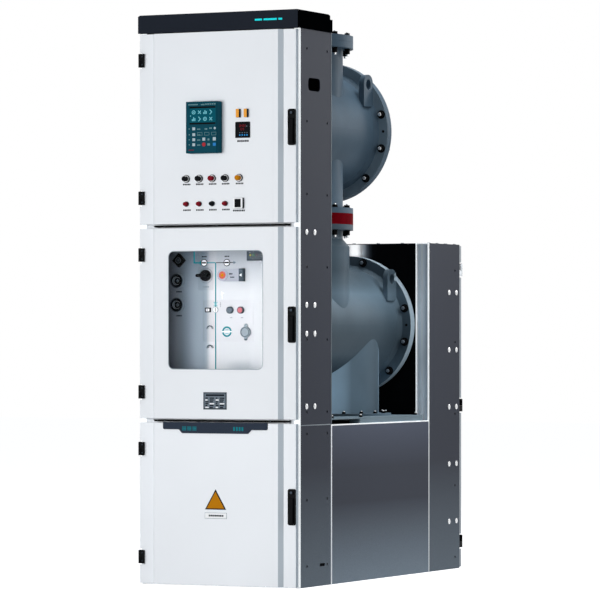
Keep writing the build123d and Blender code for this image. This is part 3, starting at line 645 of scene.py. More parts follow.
def add_block(bm, low, high, bevel=0.0, material=0, turn=None):
    """A block between two corners, with softened edges, turned about its own centre if asked."""
    low, high = Vector(low), Vector(high)
    matrix = Matrix.Translation((low + high) / 2)
    if turn:
        matrix = matrix @ turn
    made = bmesh.ops.create_cube(bm, size=1.0, matrix=matrix @ Matrix.Diagonal((*(high - low), 1.0)))
    faces = made_faces(made, material)
    if bevel:
        soften(bm, {e for f in faces for e in f.edges}, bevel)


def facing(origin, normal, spin=0.0):
    """A matrix at a place whose Z is the given normal."""
    turn = Vector(normal).to_track_quat("Z", "Y").to_matrix().to_4x4()
    return Matrix.Translation(Vector(origin)) @ turn @ Matrix.Rotation(spin, 4, "Z")


def rounded_face(bm, x, z, y, radius):
    """A flat face with rounded corners at y, which is tagged and returned."""
    centre = Vector((sum(x) / 2, y, sum(z) / 2))
    matrix = facing(centre, FRONT) @ Matrix.Diagonal((x[1] - x[0], z[1] - z[0], 1.0, 1.0))
    made = bmesh.ops.create_grid(bm, x_segments=1, y_segments=1, size=0.5, matrix=matrix)
    bmesh.ops.bevel(bm, geom=made["verts"], offset=radius, segments=6, profile=0.5,
                    affect="VERTICES", material=-1)
    face = min((f for f in bm.faces if not f.tag), key=lambda f: (f.calc_center_median() - centre).length)
    face.tag = True
    return face


def circle_places(centre, axis, radius, count, offset):
    """Places evenly round a circle about an axis, Y or Z, each with its angle."""
    places = []
    for index in range(count):
        angle = math.radians(offset) + index * math.tau / count
        along, across = math.cos(angle) * radius, math.sin(angle) * radius
        step = Vector((along, 0, across)) if axis == "Y" else Vector((along, across, 0))
        places.append((Vector(centre) + step, angle))
    return places


def add_nut(bm, place, normal, across, spin, stud=0.0, nuts=1):
    """A washer, one or two hexagon nuts, and the bright end of their stud."""
    at = facing(place, normal, spin)
    washer, pitch = across * 0.09, across * 0.43
    add_bar(bm, 20, across * 0.6, washer, at, across * 0.02)
    for index in range(nuts):
        nut = at @ Matrix.Translation((0, 0, washer + pitch * index))
        add_bar(bm, 6, across * 0.5, across * 0.42, nut, across * 0.045)
    if stud:
        end = at @ Matrix.Translation((0, 0, across * 0.07 + pitch * nuts))
        add_bar(bm, 12, across * 0.26, stud, end, across * 0.05, 1)


def add_screw(bm, place, normal, radius):
    """A low button head."""
    add_bar(bm, 16, radius, radius * 0.45, facing(place, normal), radius * 0.2)


class Relief:
    """Thin details on a front-facing surface at y, gathered in one mesh.

    The x and z of a plate are (low, high) pairs, materials go by key, and off is how far in front of the
    surface a detail starts.
    """

    MARK = 0.0004

    def __init__(self, y, *keys):
        self.bm = bmesh.new()
        self.y = y
        self.keys = keys

    def plate(self, x, z, key, thickness=MARK, bevel=0.0, off=0.0, tilt=0.0):
        """A thin block, turned in its plane by a tilt."""
        turn = Matrix.Rotation(tilt, 4, "Y") if tilt else None
        y = self.y - off
        add_block(self.bm, (x[0], y - thickness, z[0]), (x[1], y, z[1]), bevel, self.keys.index(key), turn)

    def bar(self, sides, x, z, radius, key, thickness, bevel=0.0, off=0.0, spin=0.0):
        """A flat piece about a centre: a disc with many sides, or a triangle."""
        at = facing((x, self.y - off, z), FRONT, spin)
        add_bar(self.bm, sides, radius, thickness, at, bevel, self.keys.index(key))

    def disc(self, x, z, radius, key, thickness, bevel=0.0, off=0.0):
        self.bar(32, x, z, radius, key, thickness, bevel, off)

    def ring(self, x, z, radius, width, key, thickness, off=0.0, sides=40):
        made = bmesh.ops.create_circle(self.bm, segments=sides, radius=radius, cap_ends=True,
                                       matrix=facing((x, self.y - off, z), FRONT))
        self.hollow(made["verts"][0].link_faces[0], width, thickness, key)

    def frame(self, x, z, radius, width, key, thickness):
        """A frame with rounded corners round the inside of an opening."""
        self.hollow(rounded_face(self.bm, x, z, self.y, radius), width, thickness, key)

    def hollow(self, face, width, thickness, key):
        """Turns a face into a raised band along its own edge."""
        band = bmesh.ops.inset_region(self.bm, faces=[face], thickness=width, use_even_offset=True,
                                      use_boundary=True)["faces"]
        bmesh.ops.delete(self.bm, geom=[face], context="FACES_ONLY")
        for part in band:
            part.material_index = self.keys.index(key)
        raise_faces(self.bm, band, (0, -thickness, 0))

    def rounded_plate(self, x, z, radius, key, thickness):
        face = rounded_face(self.bm, x, z, self.y, radius)
        face.material_index = self.keys.index(key)
        for made in raise_faces(self.bm, [face], (0, -thickness, 0)):
            made.tag = True

    def marks(self, x, z, height, widths, key, off=0.0):
        """A printed line of plain bars of these widths, centred on x, where the real one has words."""
        gap = 0.35 * min(widths)
        left = x - (sum(widths) + gap * (len(widths) - 1)) / 2
        for width in widths:
            self.plate((left, left + width), around(z, height), key, off=off)
            left += width + gap

    def finish(self, name, body="cabinet"):
        finish_piece(self.bm, name, self.keys, body)


# ---- Operators: finishes and tanks --------------------------------------------------------


class CUBICLE_OT_finishes(bpy.types.Operator):
    """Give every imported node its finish"""

    bl_idname = "cubicle.finishes"
    bl_label = "Finishes"

    def execute(self, context):
        MATERIALS.update(make_materials())
        for key, names in NODE_FINISH.items():
            for name in names:
                mesh = NODES[name].data
                mesh.materials.clear()
                mesh.materials.append(MATERIALS[key])
        return {"FINISHED"}


class CUBICLE_OT_part_finishes(bpy.types.Operator):
    """Give single faces of the devices, the doors, the bay and the tanks their own finishes"""

    bl_idname = "cubicle.part_finishes"
    bl_label = "Part finishes"

    def execute(self, context):
        tint("test_blocks", "orange", lambda at, normal: normal.y < -0.5)
        # Painted light on the relay housing's sides.
        tint("protection_relay", "relay_side",
             lambda at, normal: abs(normal.y) < 0.2 and at.y > DOOR_FACE - 0.044)
        for node in ("rear_door_hinges", "fixed_hinges"):
            tint(node, "zinc", lambda at, normal: at.y > 0 and at.z > 1.25)
        # Painted shade on the cap's ends.
        tint("top_cap", "cap_side", lambda at, normal: abs(normal.x) > 0.5)
        # Painted shade on each front door's right-facing faces.
        for door in FRONT_DOORS:
            tint(f"{door}_leaf", "door_side", lambda at, normal: at.x > 0.3 and normal.x > 0.15)
        for side in SIDES:
            # Painted light on the rear side panels' front folds.
            tint(f"rear_side_panel_{side}", "fold",
                 lambda at, normal: normal.y < -0.5 and at.y < BAY_Y + 0.002)
            for panel in ("column_side_panel_upper", "column_side_panel_lower", "rear_side_panel"):
                self.paint_hole_shade(f"{panel}_{side}")
        # Painted shade: the back plate's face towards the bay and the roof's underside.
        tint("column_back_plate", "dark_metal", lambda at, normal: normal.y > 0.5)
        tint("roof_plates", "dark_metal", lambda at, normal: normal.z < -0.5)
        self.paint_tanks()
        self.paint_pilots()
        self.paint_controls()
        return {"FINISHED"}

    def paint_hole_shade(self, panel):
        """Paints shade on the walls of a side panel's round holes, and not on those of its wiring slot."""
        low, high = span(panel)
        edge = 0.005

        def in_hole(at, normal):
            inside = abs(abs(at.x) - SIDE_X) < 0.003 and abs(normal.x) < 0.5
            clear = low.y + edge < at.y < high.y - edge and low.z + edge < at.z < high.z - edge
            return inside and clear and not 2.07 < at.z < 2.13

        tint(panel, "dark_metal", in_hole)

    def paint_tanks(self):
        """Painted light on the leg's upright side, and painted highlights on the back of the upper tank's
        flange and on the lower flanges' rims.
        """
        leg_radius, leg_top = 0.262, 1.06
        barrel_radius, rim_depth = 0.3, 0.04
        upper_y = span("upper_tank_rear_cover")[0].y - rim_depth
        low, high = span("lower_tank_rear_cover")
        axis_z = (low.z + high.z) / 2

        def on_leg(at, normal):
            outward = Vector((at.x, at.y - LEG_Y, 0.0))
            upright = abs(normal.z) < 0.02 and outward.length < leg_radius
            return upright and at.z < leg_top and outward.normalized().dot(normal) > 0.98

        def on_rim(at, normal):
            at_flange = abs(normal.y) < 0.5 and at.y > low.y - rim_depth
            return at_flange and math.hypot(at.x, at.z - axis_z) > barrel_radius

        tint("lower_tank", "tank_leg", on_leg)
        tint("upper_tank", "tank_rim", lambda at, normal: normal.y < -0.8 and at.y > upper_y)
        for node in ("lower_tank", "lower_tank_rear_cover"):
            tint(node, "tank_edge", on_rim)

    def paint_pilots(self):
        """Caps by row and column, over their bezels, and the switch in the lower row's last place."""
        last = len(PILOT_CAPS[0]) - 1

        def choose(at, normal):
            row = 0 if at.z > sum(PILOT_ROWS) / 2 else 1
            column = min(last, round((at.x - PILOT_X) / PILOT_STEP))
            if (row, column) == (1, last):
                inside = abs(at.x - LAST_PILOT_X) < 0.0146 and abs(at.z - PILOT_ROWS[1]) < 0.0176
                return "plastic" if inside else "white" if normal.y < -0.5 else "ink"
            if at.y > DOOR_FACE - 0.0051:
                rim = "edge" if row == 0 else "grey_dark"
                return rim if normal.y < -0.5 else "plastic"
            return PILOT_CAPS[row][column]

        repaint("pilot_devices", ["plastic", "red", "amber", "white", "ink", "edge", "grey_dark"], choose)

    def paint_controls(self):
        """The controls on the operating panel, by their places on it."""
        def within(at, area):
            left, right, low, high = area
            return left < at.x < right and low < at.z < high

        def choose(at, normal):
            front = normal.y < -0.5
            if within(at, INTERLOCK_AREA):
                return "grey_dark" if at.x > LATCH_X else "latch"
            if within(at, LAMP_AREA) or within(at, BUTTON_AREA):
                return "grey_dark"
            if within(at, PORT_AREA) or (within(at, SOCKET_AREA) and not front):
                return "edge_dull"
            if within(at, COUNTER_AREA):
                return "grey_dark" if front else "zinc"
            return None

        repaint("operating_controls", ["latch", "grey_dark", "edge_dull", "zinc"], choose)


class CUBICLE_OT_tank_bolts(bpy.types.Operator):
    """Bolt the tanks' end flanges"""

    bl_idname = "cubicle.tank_bolts"
    bl_label = "Tank bolts"

    def execute(self, context):
        nut = sizes().flange_nut
        flange, rim = 0.024, 0.018
        inner_cover = span("tank_front_covers")[1].y - rim
        for tank in ("upper_tank", "lower_tank"):
            low, high = span(f"{tank}_rear_cover")
            middle = (low.z + high.z) / 2
            radius = (high.z - low.z) / 2 - 0.0205
            rear_face = low.y - flange
            front_face = span(tank)[0].y + flange
            outer_nut = nut * (1.0 if tank == "upper_tank" else 0.55)
            bm = bmesh.new()
            for place, angle in circle_places((0, 0, middle), "Y", radius, sizes().flange_bolts, 15):
                for y, normal, across, stud in ((rear_face, FRONT, nut, 0.008),
                                                (low.y + rim, REARWARD, outer_nut, 0.0),
                                                (front_face, REARWARD, nut, 0.012),
                                                (inner_cover, FRONT, nut, 0.0)):
                    add_nut(bm, (place.x, y, place.z), normal, across, angle, stud)
            for side in (1, -1):
                plug = facing((side * (radius - 0.001), rear_face, middle), FRONT)
                add_bar(bm, 16, 0.006, 0.0008, plug, 0.0, 2)
            # Painted shade: the lower tank's stud ends are grey, not bright.
            lit_or_shaded_tip = "bright" if tank == "upper_tank" else "grey"
            finish_piece(bm, f"{tank}_flange_bolts", ["black", lit_or_shaded_tip, "dark_metal"])
        return {"FINISHED"}


class CUBICLE_OT_neck_bolts(bpy.types.Operator):
    """Bolt the flanges of the upright necks and the insulator between them"""

    bl_idname = "cubicle.neck_bolts"
    bl_label = "Neck bolts"

    def execute(self, context):
        s = sizes()
        ring_low, ring_high = span("insulator_ring")
        cover_low, cover_high = span("top_blank_cover")
        radius = (ring_high.x - ring_low.x) / 2 - 0.022
        bm = bmesh.new()
        for top, bottom in ((cover_high.z, cover_low.z - 0.028), (ring_high.z + 0.024, ring_low.z - 0.024)):
            for place, angle in circle_places((0, NECK_Y, 0), "Z", radius, s.flange_bolts, 15):
                add_nut(bm, (place.x, place.y, top), UP, s.neck_nut, angle, 0.006)
                add_nut(bm, (place.x, place.y, bottom), DOWN, s.neck_nut, angle, 0.010, 2)
        finish_piece(bm, "neck_flange_bolts", ["black", "bright"])
        return {"FINISHED"}


class CUBICLE_OT_foot_bolts(bpy.types.Operator):
    """Bolt the lower tank's foot and its plate down"""

    bl_idname = "cubicle.foot_bolts"
    bl_label = "Foot bolts"

    def execute(self, context):
        s = sizes()
        low, high = span("tank_support_plate")
        bm = bmesh.new()
        for place, angle in circle_places((0, LEG_Y, high.z + 0.010), "Z", 0.277, s.leg_bolts, 9):
            add_nut(bm, place, UP, s.foot_nut, angle, 0.004)
        for side in (1, -1):
            for y in (low.y + 0.06, LEG_Y - 0.34, high.y - 0.02):
                add_nut(bm, (side * (high.x - 0.025), y, high.z), UP, s.foot_nut, 0.3, 0.005)
        finish_piece(bm, "foot_bolts", ["black", "bright"])
        return {"FINISHED"}


# ---- Operators: cabinet -------------------------------------------------------------------


class CUBICLE_OT_seam_strips(bpy.types.Operator):
    """Lay strips of painted highlight, which glow, on the side panels' folded edges"""

    bl_idname = "cubicle.seam_strips"
    bl_label = "Seam strips"

    def execute(self, context):
        width = sizes().edge_strip
        foot, proud = 0.002, 0.0008
        bm = bmesh.new()
        for side in (1, -1):
            xs = sorted((side * (SIDE_X + proud), side * (SIDE_X - 0.006)))
            for y, wide, low, high, material in (
                    (FRONT_Y - 0.0004, width, foot, PANEL_HIGH.z, 0),
                    (COLUMN_Y - width / 2, width, foot, BASE_TOP - 0.001, 0),
                    (BAY_Y - width / 2, width, foot, REAR_TOP, 0),
                    (COLUMN_Y - width / 2, width * 0.6, BASE_TOP + 0.004, PANEL_HIGH.z, 1)):
                add_block(bm, (xs[0], y, low), (xs[1], y + wide, high), wide * 0.25, material)
            front = sorted((side * (SIDE_X - 0.025), side * (SIDE_X + proud)))
            add_block(bm, (front[0], FRONT_Y - proud, foot), (front[1], FRONT_Y, PANEL_HIGH.z))
            add_block(bm, (xs[0], FRONT_Y + width, BASE_TOP - 0.0005),
                      (xs[1], COLUMN_Y - width / 2, BASE_TOP + 0.0035), 0.001, 1)
            add_block(bm, (xs[0], COLUMN_Y + width / 2, BASE_TOP - 0.0045),
                      (xs[1], BAY_Y - width / 2, BASE_TOP + proud), 0.0012)
            edge = around(side * FOLD_X, 0.006)
            add_block(bm, (edge[0], BAY_Y - 0.0012, BASE_TOP + 0.03),
                      (edge[1], BAY_Y + 0.004, REAR_TOP), 0.001)
            add_block(bm, (side * FOLD_X - 0.003, BAY_Y - 0.0012, REAR_TOP - 0.004),
                      (side * SIDE_X, BAY_Y + 0.003, REAR_TOP + proud), 0.001)
        finish_piece(bm, "seam_strips", ["seam", "edge_dull"])
        return {"FINISHED"}


class CUBICLE_OT_panel_plugs(bpy.types.Operator):
    """Set the paired plugs into the side panels"""

    bl_idname = "cubicle.panel_plugs"
    bl_label = "Panel plugs"

    def execute(self, context):
        radius = sizes().plug / 2
        rows = (((0.060, 0.137), (0.755, 1.059, 1.179, 1.483)),
                ((1.507, 1.586), (0.216, 0.475, 0.732, 0.989, 1.247)))
        places = [(depth, z) for depths, heights in rows for depth in depths for z in heights]
        rim = 0.0025
        bm = bmesh.new()
        for side in (1, -1):
            for depth, z in places:
                at = facing((side * SIDE_X, FRONT_Y + depth, z), (side, 0, 0))
                add_bar(bm, 20, radius, rim, at, 0.0008)
                add_bar(bm, 20, radius * 0.72, 0.002, at @ Matrix.Translation((0, 0, rim)), 0.0009)
        finish_piece(bm, "panel_plugs", ["bright"])
        return {"FINISHED"}


class CUBICLE_OT_roof_screws(bpy.types.Operator):
    """Screw down the rear column's roof"""

    bl_idname = "cubicle.roof_screws"
    bl_label = "Roof screws"

    def execute(self, context):
        places = [(side * (SIDE_X - 0.014), y) for side in (1, -1)
                  for y in (BAY_Y + 0.03, BAY_Y + 0.12, BAY_Y + 0.21, REAR_Y - 0.03)]
        places += [(x, y) for x in (-0.24, -0.12, 0.0, 0.12, 0.24) for y in (BAY_Y + 0.012, REAR_Y - 0.012)]
        bm = bmesh.new()
        for x, y in places:
            add_screw(bm, (x, y, REAR_TOP), UP, 0.008)
        finish_piece(bm, "roof_screws", ["zinc"])
        return {"FINISHED"}


class CUBICLE_OT_cap_accent(bpy.types.Operator):
    """Put the plain accent bars on the cap's front"""

    bl_idname = "cubicle.cap_accent"
    bl_label = "Cap accent"

    def execute(self, context):
        low, high = span("top_cap")
        cap = Relief(low.y, "accent")
        for start, length in ((0.178, 0.034), (0.219, 0.062), (0.288, 0.018)):
            cap.plate((start, start + length), around((low.z + high.z) / 2, 0.008), "accent", 0.0008, 0.0002)
        cap.finish("cap_accent")
        return {"FINISHED"}


class CUBICLE_OT_window_seal(bpy.types.Operator):
    """Fit the seal round the window's opening"""

    bl_idname = "cubicle.window_seal"
    bl_label = "Window seal"

    def execute(self, context):
        low, high = span("window_pane")
        lap, corner, wide = 0.013, 0.026, 0.004
        x, z = (low.x + lap, high.x - lap), (low.z + lap, high.z - lap)
        seal = Relief(low.y, "edge_dull")
        seal.frame(x, z, corner, wide, "edge_dull", 0.0012)
        seal.finish("window_seal", "middle_door")
        return {"FINISHED"}


def door_part(body, part):
    """A door's part: its low and high corners, its outward direction along Y and its outer face."""
    low, high = span(f"{body}_{part}")
    return (low, high, 1, high.y) if body == "rear_door" else (low, high, -1, low.y)


class CUBICLE_OT_door_seals(bpy.types.Operator):
    """Run a foam seal round the inside of each door"""

    bl_idname = "cubicle.door_seals"
    bl_label = "Door seals"

    def execute(self, context):
        wide, thick, clear = 0.010, 0.008, 0.006
        for body in DOORS:
            low, high, outward, _ = door_part(body, "leaf")
            y = (high.y - thick, high.y) if outward < 0 else (low.y, low.y + thick)
            gaps = (0.022, 0.008) if outward < 0 else (0.008, 0.022)
            x = (low.x + gaps[0], high.x - gaps[1])
            z = (low.z + clear, high.z - clear)
            inner = (x[0] + wide, x[1] - wide)
            bm = bmesh.new()
            for run, rise in (((x[0], inner[0]), z), ((inner[1], x[1]), z), (inner, (z[0], z[0] + wide)),
                              (inner, (z[1] - wide, z[1]))):
                add_block(bm, (run[0], y[0], rise[0]), (run[1], y[1], rise[1]), 0.002)
            finish_piece(bm, f"{body}_seal", ["rubber"], body)
        return {"FINISHED"}


class CUBICLE_OT_door_folds(bpy.types.Operator):
    """Carry each front door's raised middle to the fold beside its handle"""

    bl_idname = "cubicle.door_folds"
    bl_label = "Door folds"

    def execute(self, context):
        wide = sizes().fold_width
        rise, slope = 0.014, 0.019
        for body in FRONT_DOORS:
            low, high = span(f"{body}_leaf")
            foot = high.x - 0.081
            section = ((foot - slope, low.y), (foot - slope + wide, low.y), (foot + wide, low.y + rise),
                       (foot, low.y + rise))
            bm = bmesh.new()
            face = bm.faces.new([bm.verts.new((x, y, low.z)) for x, y in section])
            raise_faces(bm, [face], (0, 0, high.z - low.z))
            bm.normal_update()
            bmesh.ops.recalc_face_normals(bm, faces=bm.faces)
            for side in bm.faces:
                # Painted shade on the slope that faces right.
                side.material_index = 1 if side.normal.x > 0.3 else 0
            # The lower door's fold takes its lighter copy of the coat.
            paint = "door_low_lit" if body == "lower_door" else "door"
            finish_piece(bm, f"{body}_fold", [paint, "door_shade"], body)
        return {"FINISHED"}


class CUBICLE_OT_handle_ribs(bpy.types.Operator):
    """Rib the levers of the swing handles and face their locks"""

    bl_idname = "cubicle.handle_ribs"
    bl_label = "Handle ribs"

    def execute(self, context):
        lever_slope = 0.0072 / 0.104
        for body in DOORS:
            low, high, outward, tip_y = door_part(body, "handle")
            middle = (low.x + high.x) / 2
            bm = bmesh.new()
            for step in range(11):
                rise = 0.020 + step * 0.0075
                y = tip_y - outward * lever_slope * (rise - 0.008)
                add_block(bm, (middle - 0.006, y - 0.001, low.z + rise),
                          (middle + 0.006, y + 0.001, low.z + rise + 0.003), 0.0005)
            lock = facing((middle, tip_y - outward * 0.0068, high.z - 0.0155), (0, outward, 0))
            add_bar(bm, 20, 0.0055, 0.0008, lock, 0.0002, 1)
            add_bar(bm, 4, 0.0016, 0.0012, lock)
            finish_piece(bm, f"{body}_handle_ribs", ["plastic", "grey_dark"], body)
        return {"FINISHED"}


class CUBICLE_OT_hinge_screws(bpy.types.Operator):
    """Screw the hinges' plates down and cap their pins"""

    bl_idname = "cubicle.hinge_screws"
    bl_label = "Hinge screws"

    def execute(self, context):
        pin = 0.0085
        for body in DOORS:
            low, high, outward, face = door_part(body, "hinges")
            plate_x, pin_x = (high.x, low.x) if outward < 0 else (low.x, high.x)
            plate_x, pin_x = plate_x + outward * 0.003, pin_x - outward * pin
            heights = [low.z + 0.028, high.z - 0.028]
            if outward > 0:
                heights.append(0.737)
            bm = bmesh.new()
            for z in heights:
                for screw_z in around(z, 0.034):
                    add_screw(bm, (plate_x, face, screw_z), (0, outward, 0), 0.0022)
                add_bar(bm, 16, 0.0055, 0.0015, facing((pin_x, face - outward * pin, z + 0.028), UP), 0.0005)
            finish_piece(bm, f"{body}_hinge_screws", ["grey_dark"], body)
        return {"FINISHED"}


class CUBICLE_OT_trim_screws(bpy.types.Operator):
    """Screw the trim bars on"""

    bl_idname = "cubicle.trim_screws"
    bl_label = "Trim screws"

    def execute(self, context):
        low, high = span("trim_bars")
        bm = bmesh.new()
        for z in (low.z + 0.004, high.z - 0.004):
            for x in (-0.25, 0.0, 0.25):
                add_screw(bm, (x, low.y, z), FRONT, 0.0026)
        finish_piece(bm, "trim_screws", ["grey_dark"])
        return {"FINISHED"}


# ---- Operators: upper door's devices ------------------------------------------------------

PILOT_CAPS = (("plastic", "plastic", "red", "plastic", "amber"), ("red", "red", "plastic", "red", None))
SEGMENTS = {"0": "abcdef", "1": "bc", "2": "abged", "4": "fgbc", "8": "abcdefg"}


class CUBICLE_OT_relay_face(bpy.types.Operator):
    """Dress the protection relay's front with its display, keys and lamps"""

    bl_idname = "cubicle.relay_face"
    bl_label = "Relay face"

    def execute(self, context):
        low, high = span("protection_relay")
        relay = Relief(low.y, "screen", "black_ink", "icon", "key", "key_red", "key_blue", "foil_print",
                       "red")
        glass = -0.002

        def at(x, z):
            """A place given in millimetres right of and below the relay's top left corner."""
            return low.x + x / 1000, high.z - z / 1000

        def plate(x, z, width, height, key, thickness=0.0014, bevel=0.0005, off=0.0):
            x, z = at(x, z)
            relay.plate(around(x, width / 1000), around(z, height / 1000), key, thickness, bevel, off)

        def disc(x, z, radius, key, thickness=0.0012, off=0.0):
            relay.bar(20, *at(x, z), radius / 1000, key, thickness, 0.0003, off)

        plate(80, 58.5, 122, 61, "screen", 0.0004, 0.0, glass)
        for z in (24.8, 92.2):
            plate(80, z, 123, 7.2, "black_ink", 0.0008, 0.0, glass)
        for column, x in enumerate((38, 65.5, 91.5, 119)):
            for row, z in enumerate((45, 73.5)):
                self.icon(relay, *at(x, z), glass + Relief.MARK, (column + 2 * row) % 4)
        disc(23, 60, 2.6, "icon", 0.0006, glass)
        for x, z, width in ((36, 13, 38), (82, 13.5, 14), (118, 12, 42)):
            relay.marks(*at(x, z), 0.0045, [width / 5500] * 5, "foil_print")
        for z in (114, 138.5, 159.5, 180.5):
            disc(18, z, 2.6, "foil_print", 0.0006)
            plate(39.7, z, 13, 12, "key")
            relay.marks(*at(63, z + 2), 0.005, [0.005, 0.003, 0.004], "foil_print")
        for x, z in ((97, 116), (119, 113)):
            relay.marks(*at(x, z), 0.006, [0.004, 0.006], "foil_print")
        disc(139, 113, 5.0, "key")
        for x in (68, 101, 134):
            self.outline(relay, *at(x, 136), 0.022, 0.012)
        plate(87.3, 158, 13, 13, "key")
        plate(109, 160, 8, 8, "foil_print", 0.0006, 0.0)
        plate(137, 158, 14, 14, "key")
        disc(87.3, 180.5, 8.5, "key_red", 0.0016)
        plate(110, 181, 12, 9, "foil_print", 0.0006, 0.0)
        plate(137, 181, 14, 13, "key_blue")
        relay.marks(*at(28, 203), 0.004, [0.006, 0.004, 0.007, 0.004], "red")
        relay.finish("relay_face", "upper_door")
        return {"FINISHED"}

    def outline(self, relay, x, z, width, height):
        """A printed rectangle."""
        line = 0.0012
        for edge in around(z, height):
            relay.plate(around(x, width), around(edge, line), "foil_print")
        for edge in around(x, width):
            relay.plate(around(edge, line), around(z, height), "foil_print")

    def icon(self, relay, x, z, off, kind):
        """A plain sign on the display: a ring, crossed bars, a bar chart or an arrow."""
        if kind == 0:
            relay.ring(x, z, 0.0085, 0.003, "icon", Relief.MARK, off, 24)
            relay.bar(16, x, z, 0.0025, "icon", Relief.MARK, off=off)
        elif kind == 2:
            for step, height in ((-1, 0.008), (0, 0.016), (1, 0.012)):
                relay.plate(around(x + step * 0.006, 0.004), (z - 0.008, z - 0.008 + height), "icon", off=off)
        else:
            length, rise = (0.018, 0.0) if kind == 1 else (0.014, 0.0045)
            for way in (1, -1):
                relay.plate(around(x, length), around(z + way * rise, 0.0036), "icon", off=off,
                            tilt=0.8 * way)


class CUBICLE_OT_meter_face(bpy.types.Operator):
    """Dress the panel meter with its digits and keys"""

    bl_idname = "cubicle.meter_face"
    bl_label = "Meter face"

    def execute(self, context):
        low, high = span("panel_meter")
        left, top = low.x, high.z
        meter = Relief(low.y + 0.002, "digit_red", "digit_blue", "grey")
        for row, (digits, width) in enumerate((("0482", 0.0050), ("128", 0.0044))):
            for place, digit in enumerate(digits):
                self.digit(meter, digit, left + 0.0218 + place * 0.0078, top - 0.0165 - row * 0.0145, width)
        for place in range(4):
            x = left + 0.0210 + place * 0.0113
            meter.plate(around(x, 0.0054), (top - 0.0580, top - 0.0525), "digit_blue", 0.0012, 0.0004)
            meter.plate(around(x, 0.0050), (top - 0.0470, top - 0.0440), "grey")
        meter.plate((left + 0.0495, left + 0.0560), (top - 0.0200, top - 0.0172), "grey")
        meter.finish("meter_face", "upper_door")
        return {"FINISHED"}

    def digit(self, meter, digit, x, z, width):
        """A seven-segment digit about a centre, twice as high as wide."""
        half, bar = width / 2, width * 0.16
        spots = {"a": (0, width), "g": (0, 0), "d": (0, -width), "f": (-half, half), "b": (half, half),
                 "e": (-half, -half), "c": (half, -half)}
        for name in SEGMENTS[digit]:
            dx, dz = spots[name]
            long, short = 2 * (half - bar), bar
            wide, tall = (long, short) if name in "agd" else (short, long)
            meter.plate(around(x + dx, wide), around(z + dz, tall), "digit_red", 0.0003)


class CUBICLE_OT_device_labels(bpy.types.Operator):
    """Set collars round the pilot devices and plain label bars under them"""

    bl_idname = "cubicle.device_labels"
    bl_label = "Device labels"

    def execute(self, context):
        meter_low, meter_high = span("panel_meter")
        upper_z, lower_z = PILOT_ROWS
        door = Relief(DOOR_FACE, "ink", "red")
        columns = [PILOT_X + step * PILOT_STEP for step in range(4)]
        for x in (*columns, LAST_PILOT_X):
            door.disc(x, upper_z, 0.0162, "ink", 0.0044, 0.0004)
            door.marks(x + 0.001, upper_z - 0.0235, 0.0066, [0.0056, 0.0062, 0.0050, 0.0060, 0.0054], "ink")
        for x, cap in zip(columns, PILOT_CAPS[1]):
            door.disc(x, lower_z, 0.0100, "red" if cap == "red" else "ink", 0.0012, 0.0004, 0.0050)
            door.marks(x + 0.002, lower_z - 0.0255, 0.0066, [0.0054, 0.0058, 0.0062, 0.0050, 0.0060], "ink")
        door.marks(LAST_PILOT_X - 0.002, lower_z - 0.0305, 0.0070,
                   [0.0070, 0.0052, 0.0074, 0.0064, 0.0052, 0.0070, 0.0060], "ink")
        door.marks((meter_low.x + meter_high.x) / 2, meter_low.z - 0.0130, 0.0080,
                   [0.0074, 0.0066, 0.0076, 0.0062, 0.0078, 0.0070], "ink")
        door.finish("device_labels", "upper_door")
        return {"FINISHED"}


# ---- Operators: middle and lower doors ----------------------------------------------------


class CUBICLE_OT_name_plate(bpy.types.Operator):
    """Rivet a blank rating plate on the middle door"""

    bl_idname = "cubicle.name_plate"
    bl_label = "Rating plate"

    def execute(self, context):
        x, z = (SIDE_X - 0.433, SIDE_X - 0.322), (0.741, 0.814)
        sheet, border, inset, print_depth = 0.0010, 0.0030, 0.002, 0.0003
        plate = Relief(DOOR_FACE, "grey", "ink", "white")

        def printed(x, z, key="ink"):
            plate.plate(x, z, key, print_depth, off=sheet)

        plate.plate(x, z, "grey", sheet, 0.0003)
        for edge in (z[0] + inset, z[1] - inset - border):
            printed((x[0] + inset, x[1] - inset), (edge, edge + border))
        for edge in (x[0] + inset, x[1] - inset - border):
            printed((edge, edge + border), (z[0] + inset + border, z[1] - inset - border))
        printed((x[0] + 0.012, x[1] - 0.012), (z[1] - 0.0165, z[1] - 0.0090))
        for row in range(6):
            line = z[1] - 0.0225 - row * 0.0078
            for start, width in ((10, 16), (30, 22), (59, 14), (78, 22)):
                length = width - 3 * ((row + start) % 3)
                key = "white" if (row * 3 + start // 10) % 4 == 0 else "ink"
                left = x[0] + start / 1000
                printed((left, left + length / 1000), (line - 0.0050, line), key)
        for rivet_x in (x[0] + 0.0075, x[1] - 0.0075):
            for rivet_z in (z[0] + 0.0085, z[1] - 0.0085):
                plate.bar(12, rivet_x, rivet_z, 0.0022, "grey", 0.0010, 0.0004, sheet)
        plate.finish("rating_plate", "middle_door")
        return {"FINISHED"}


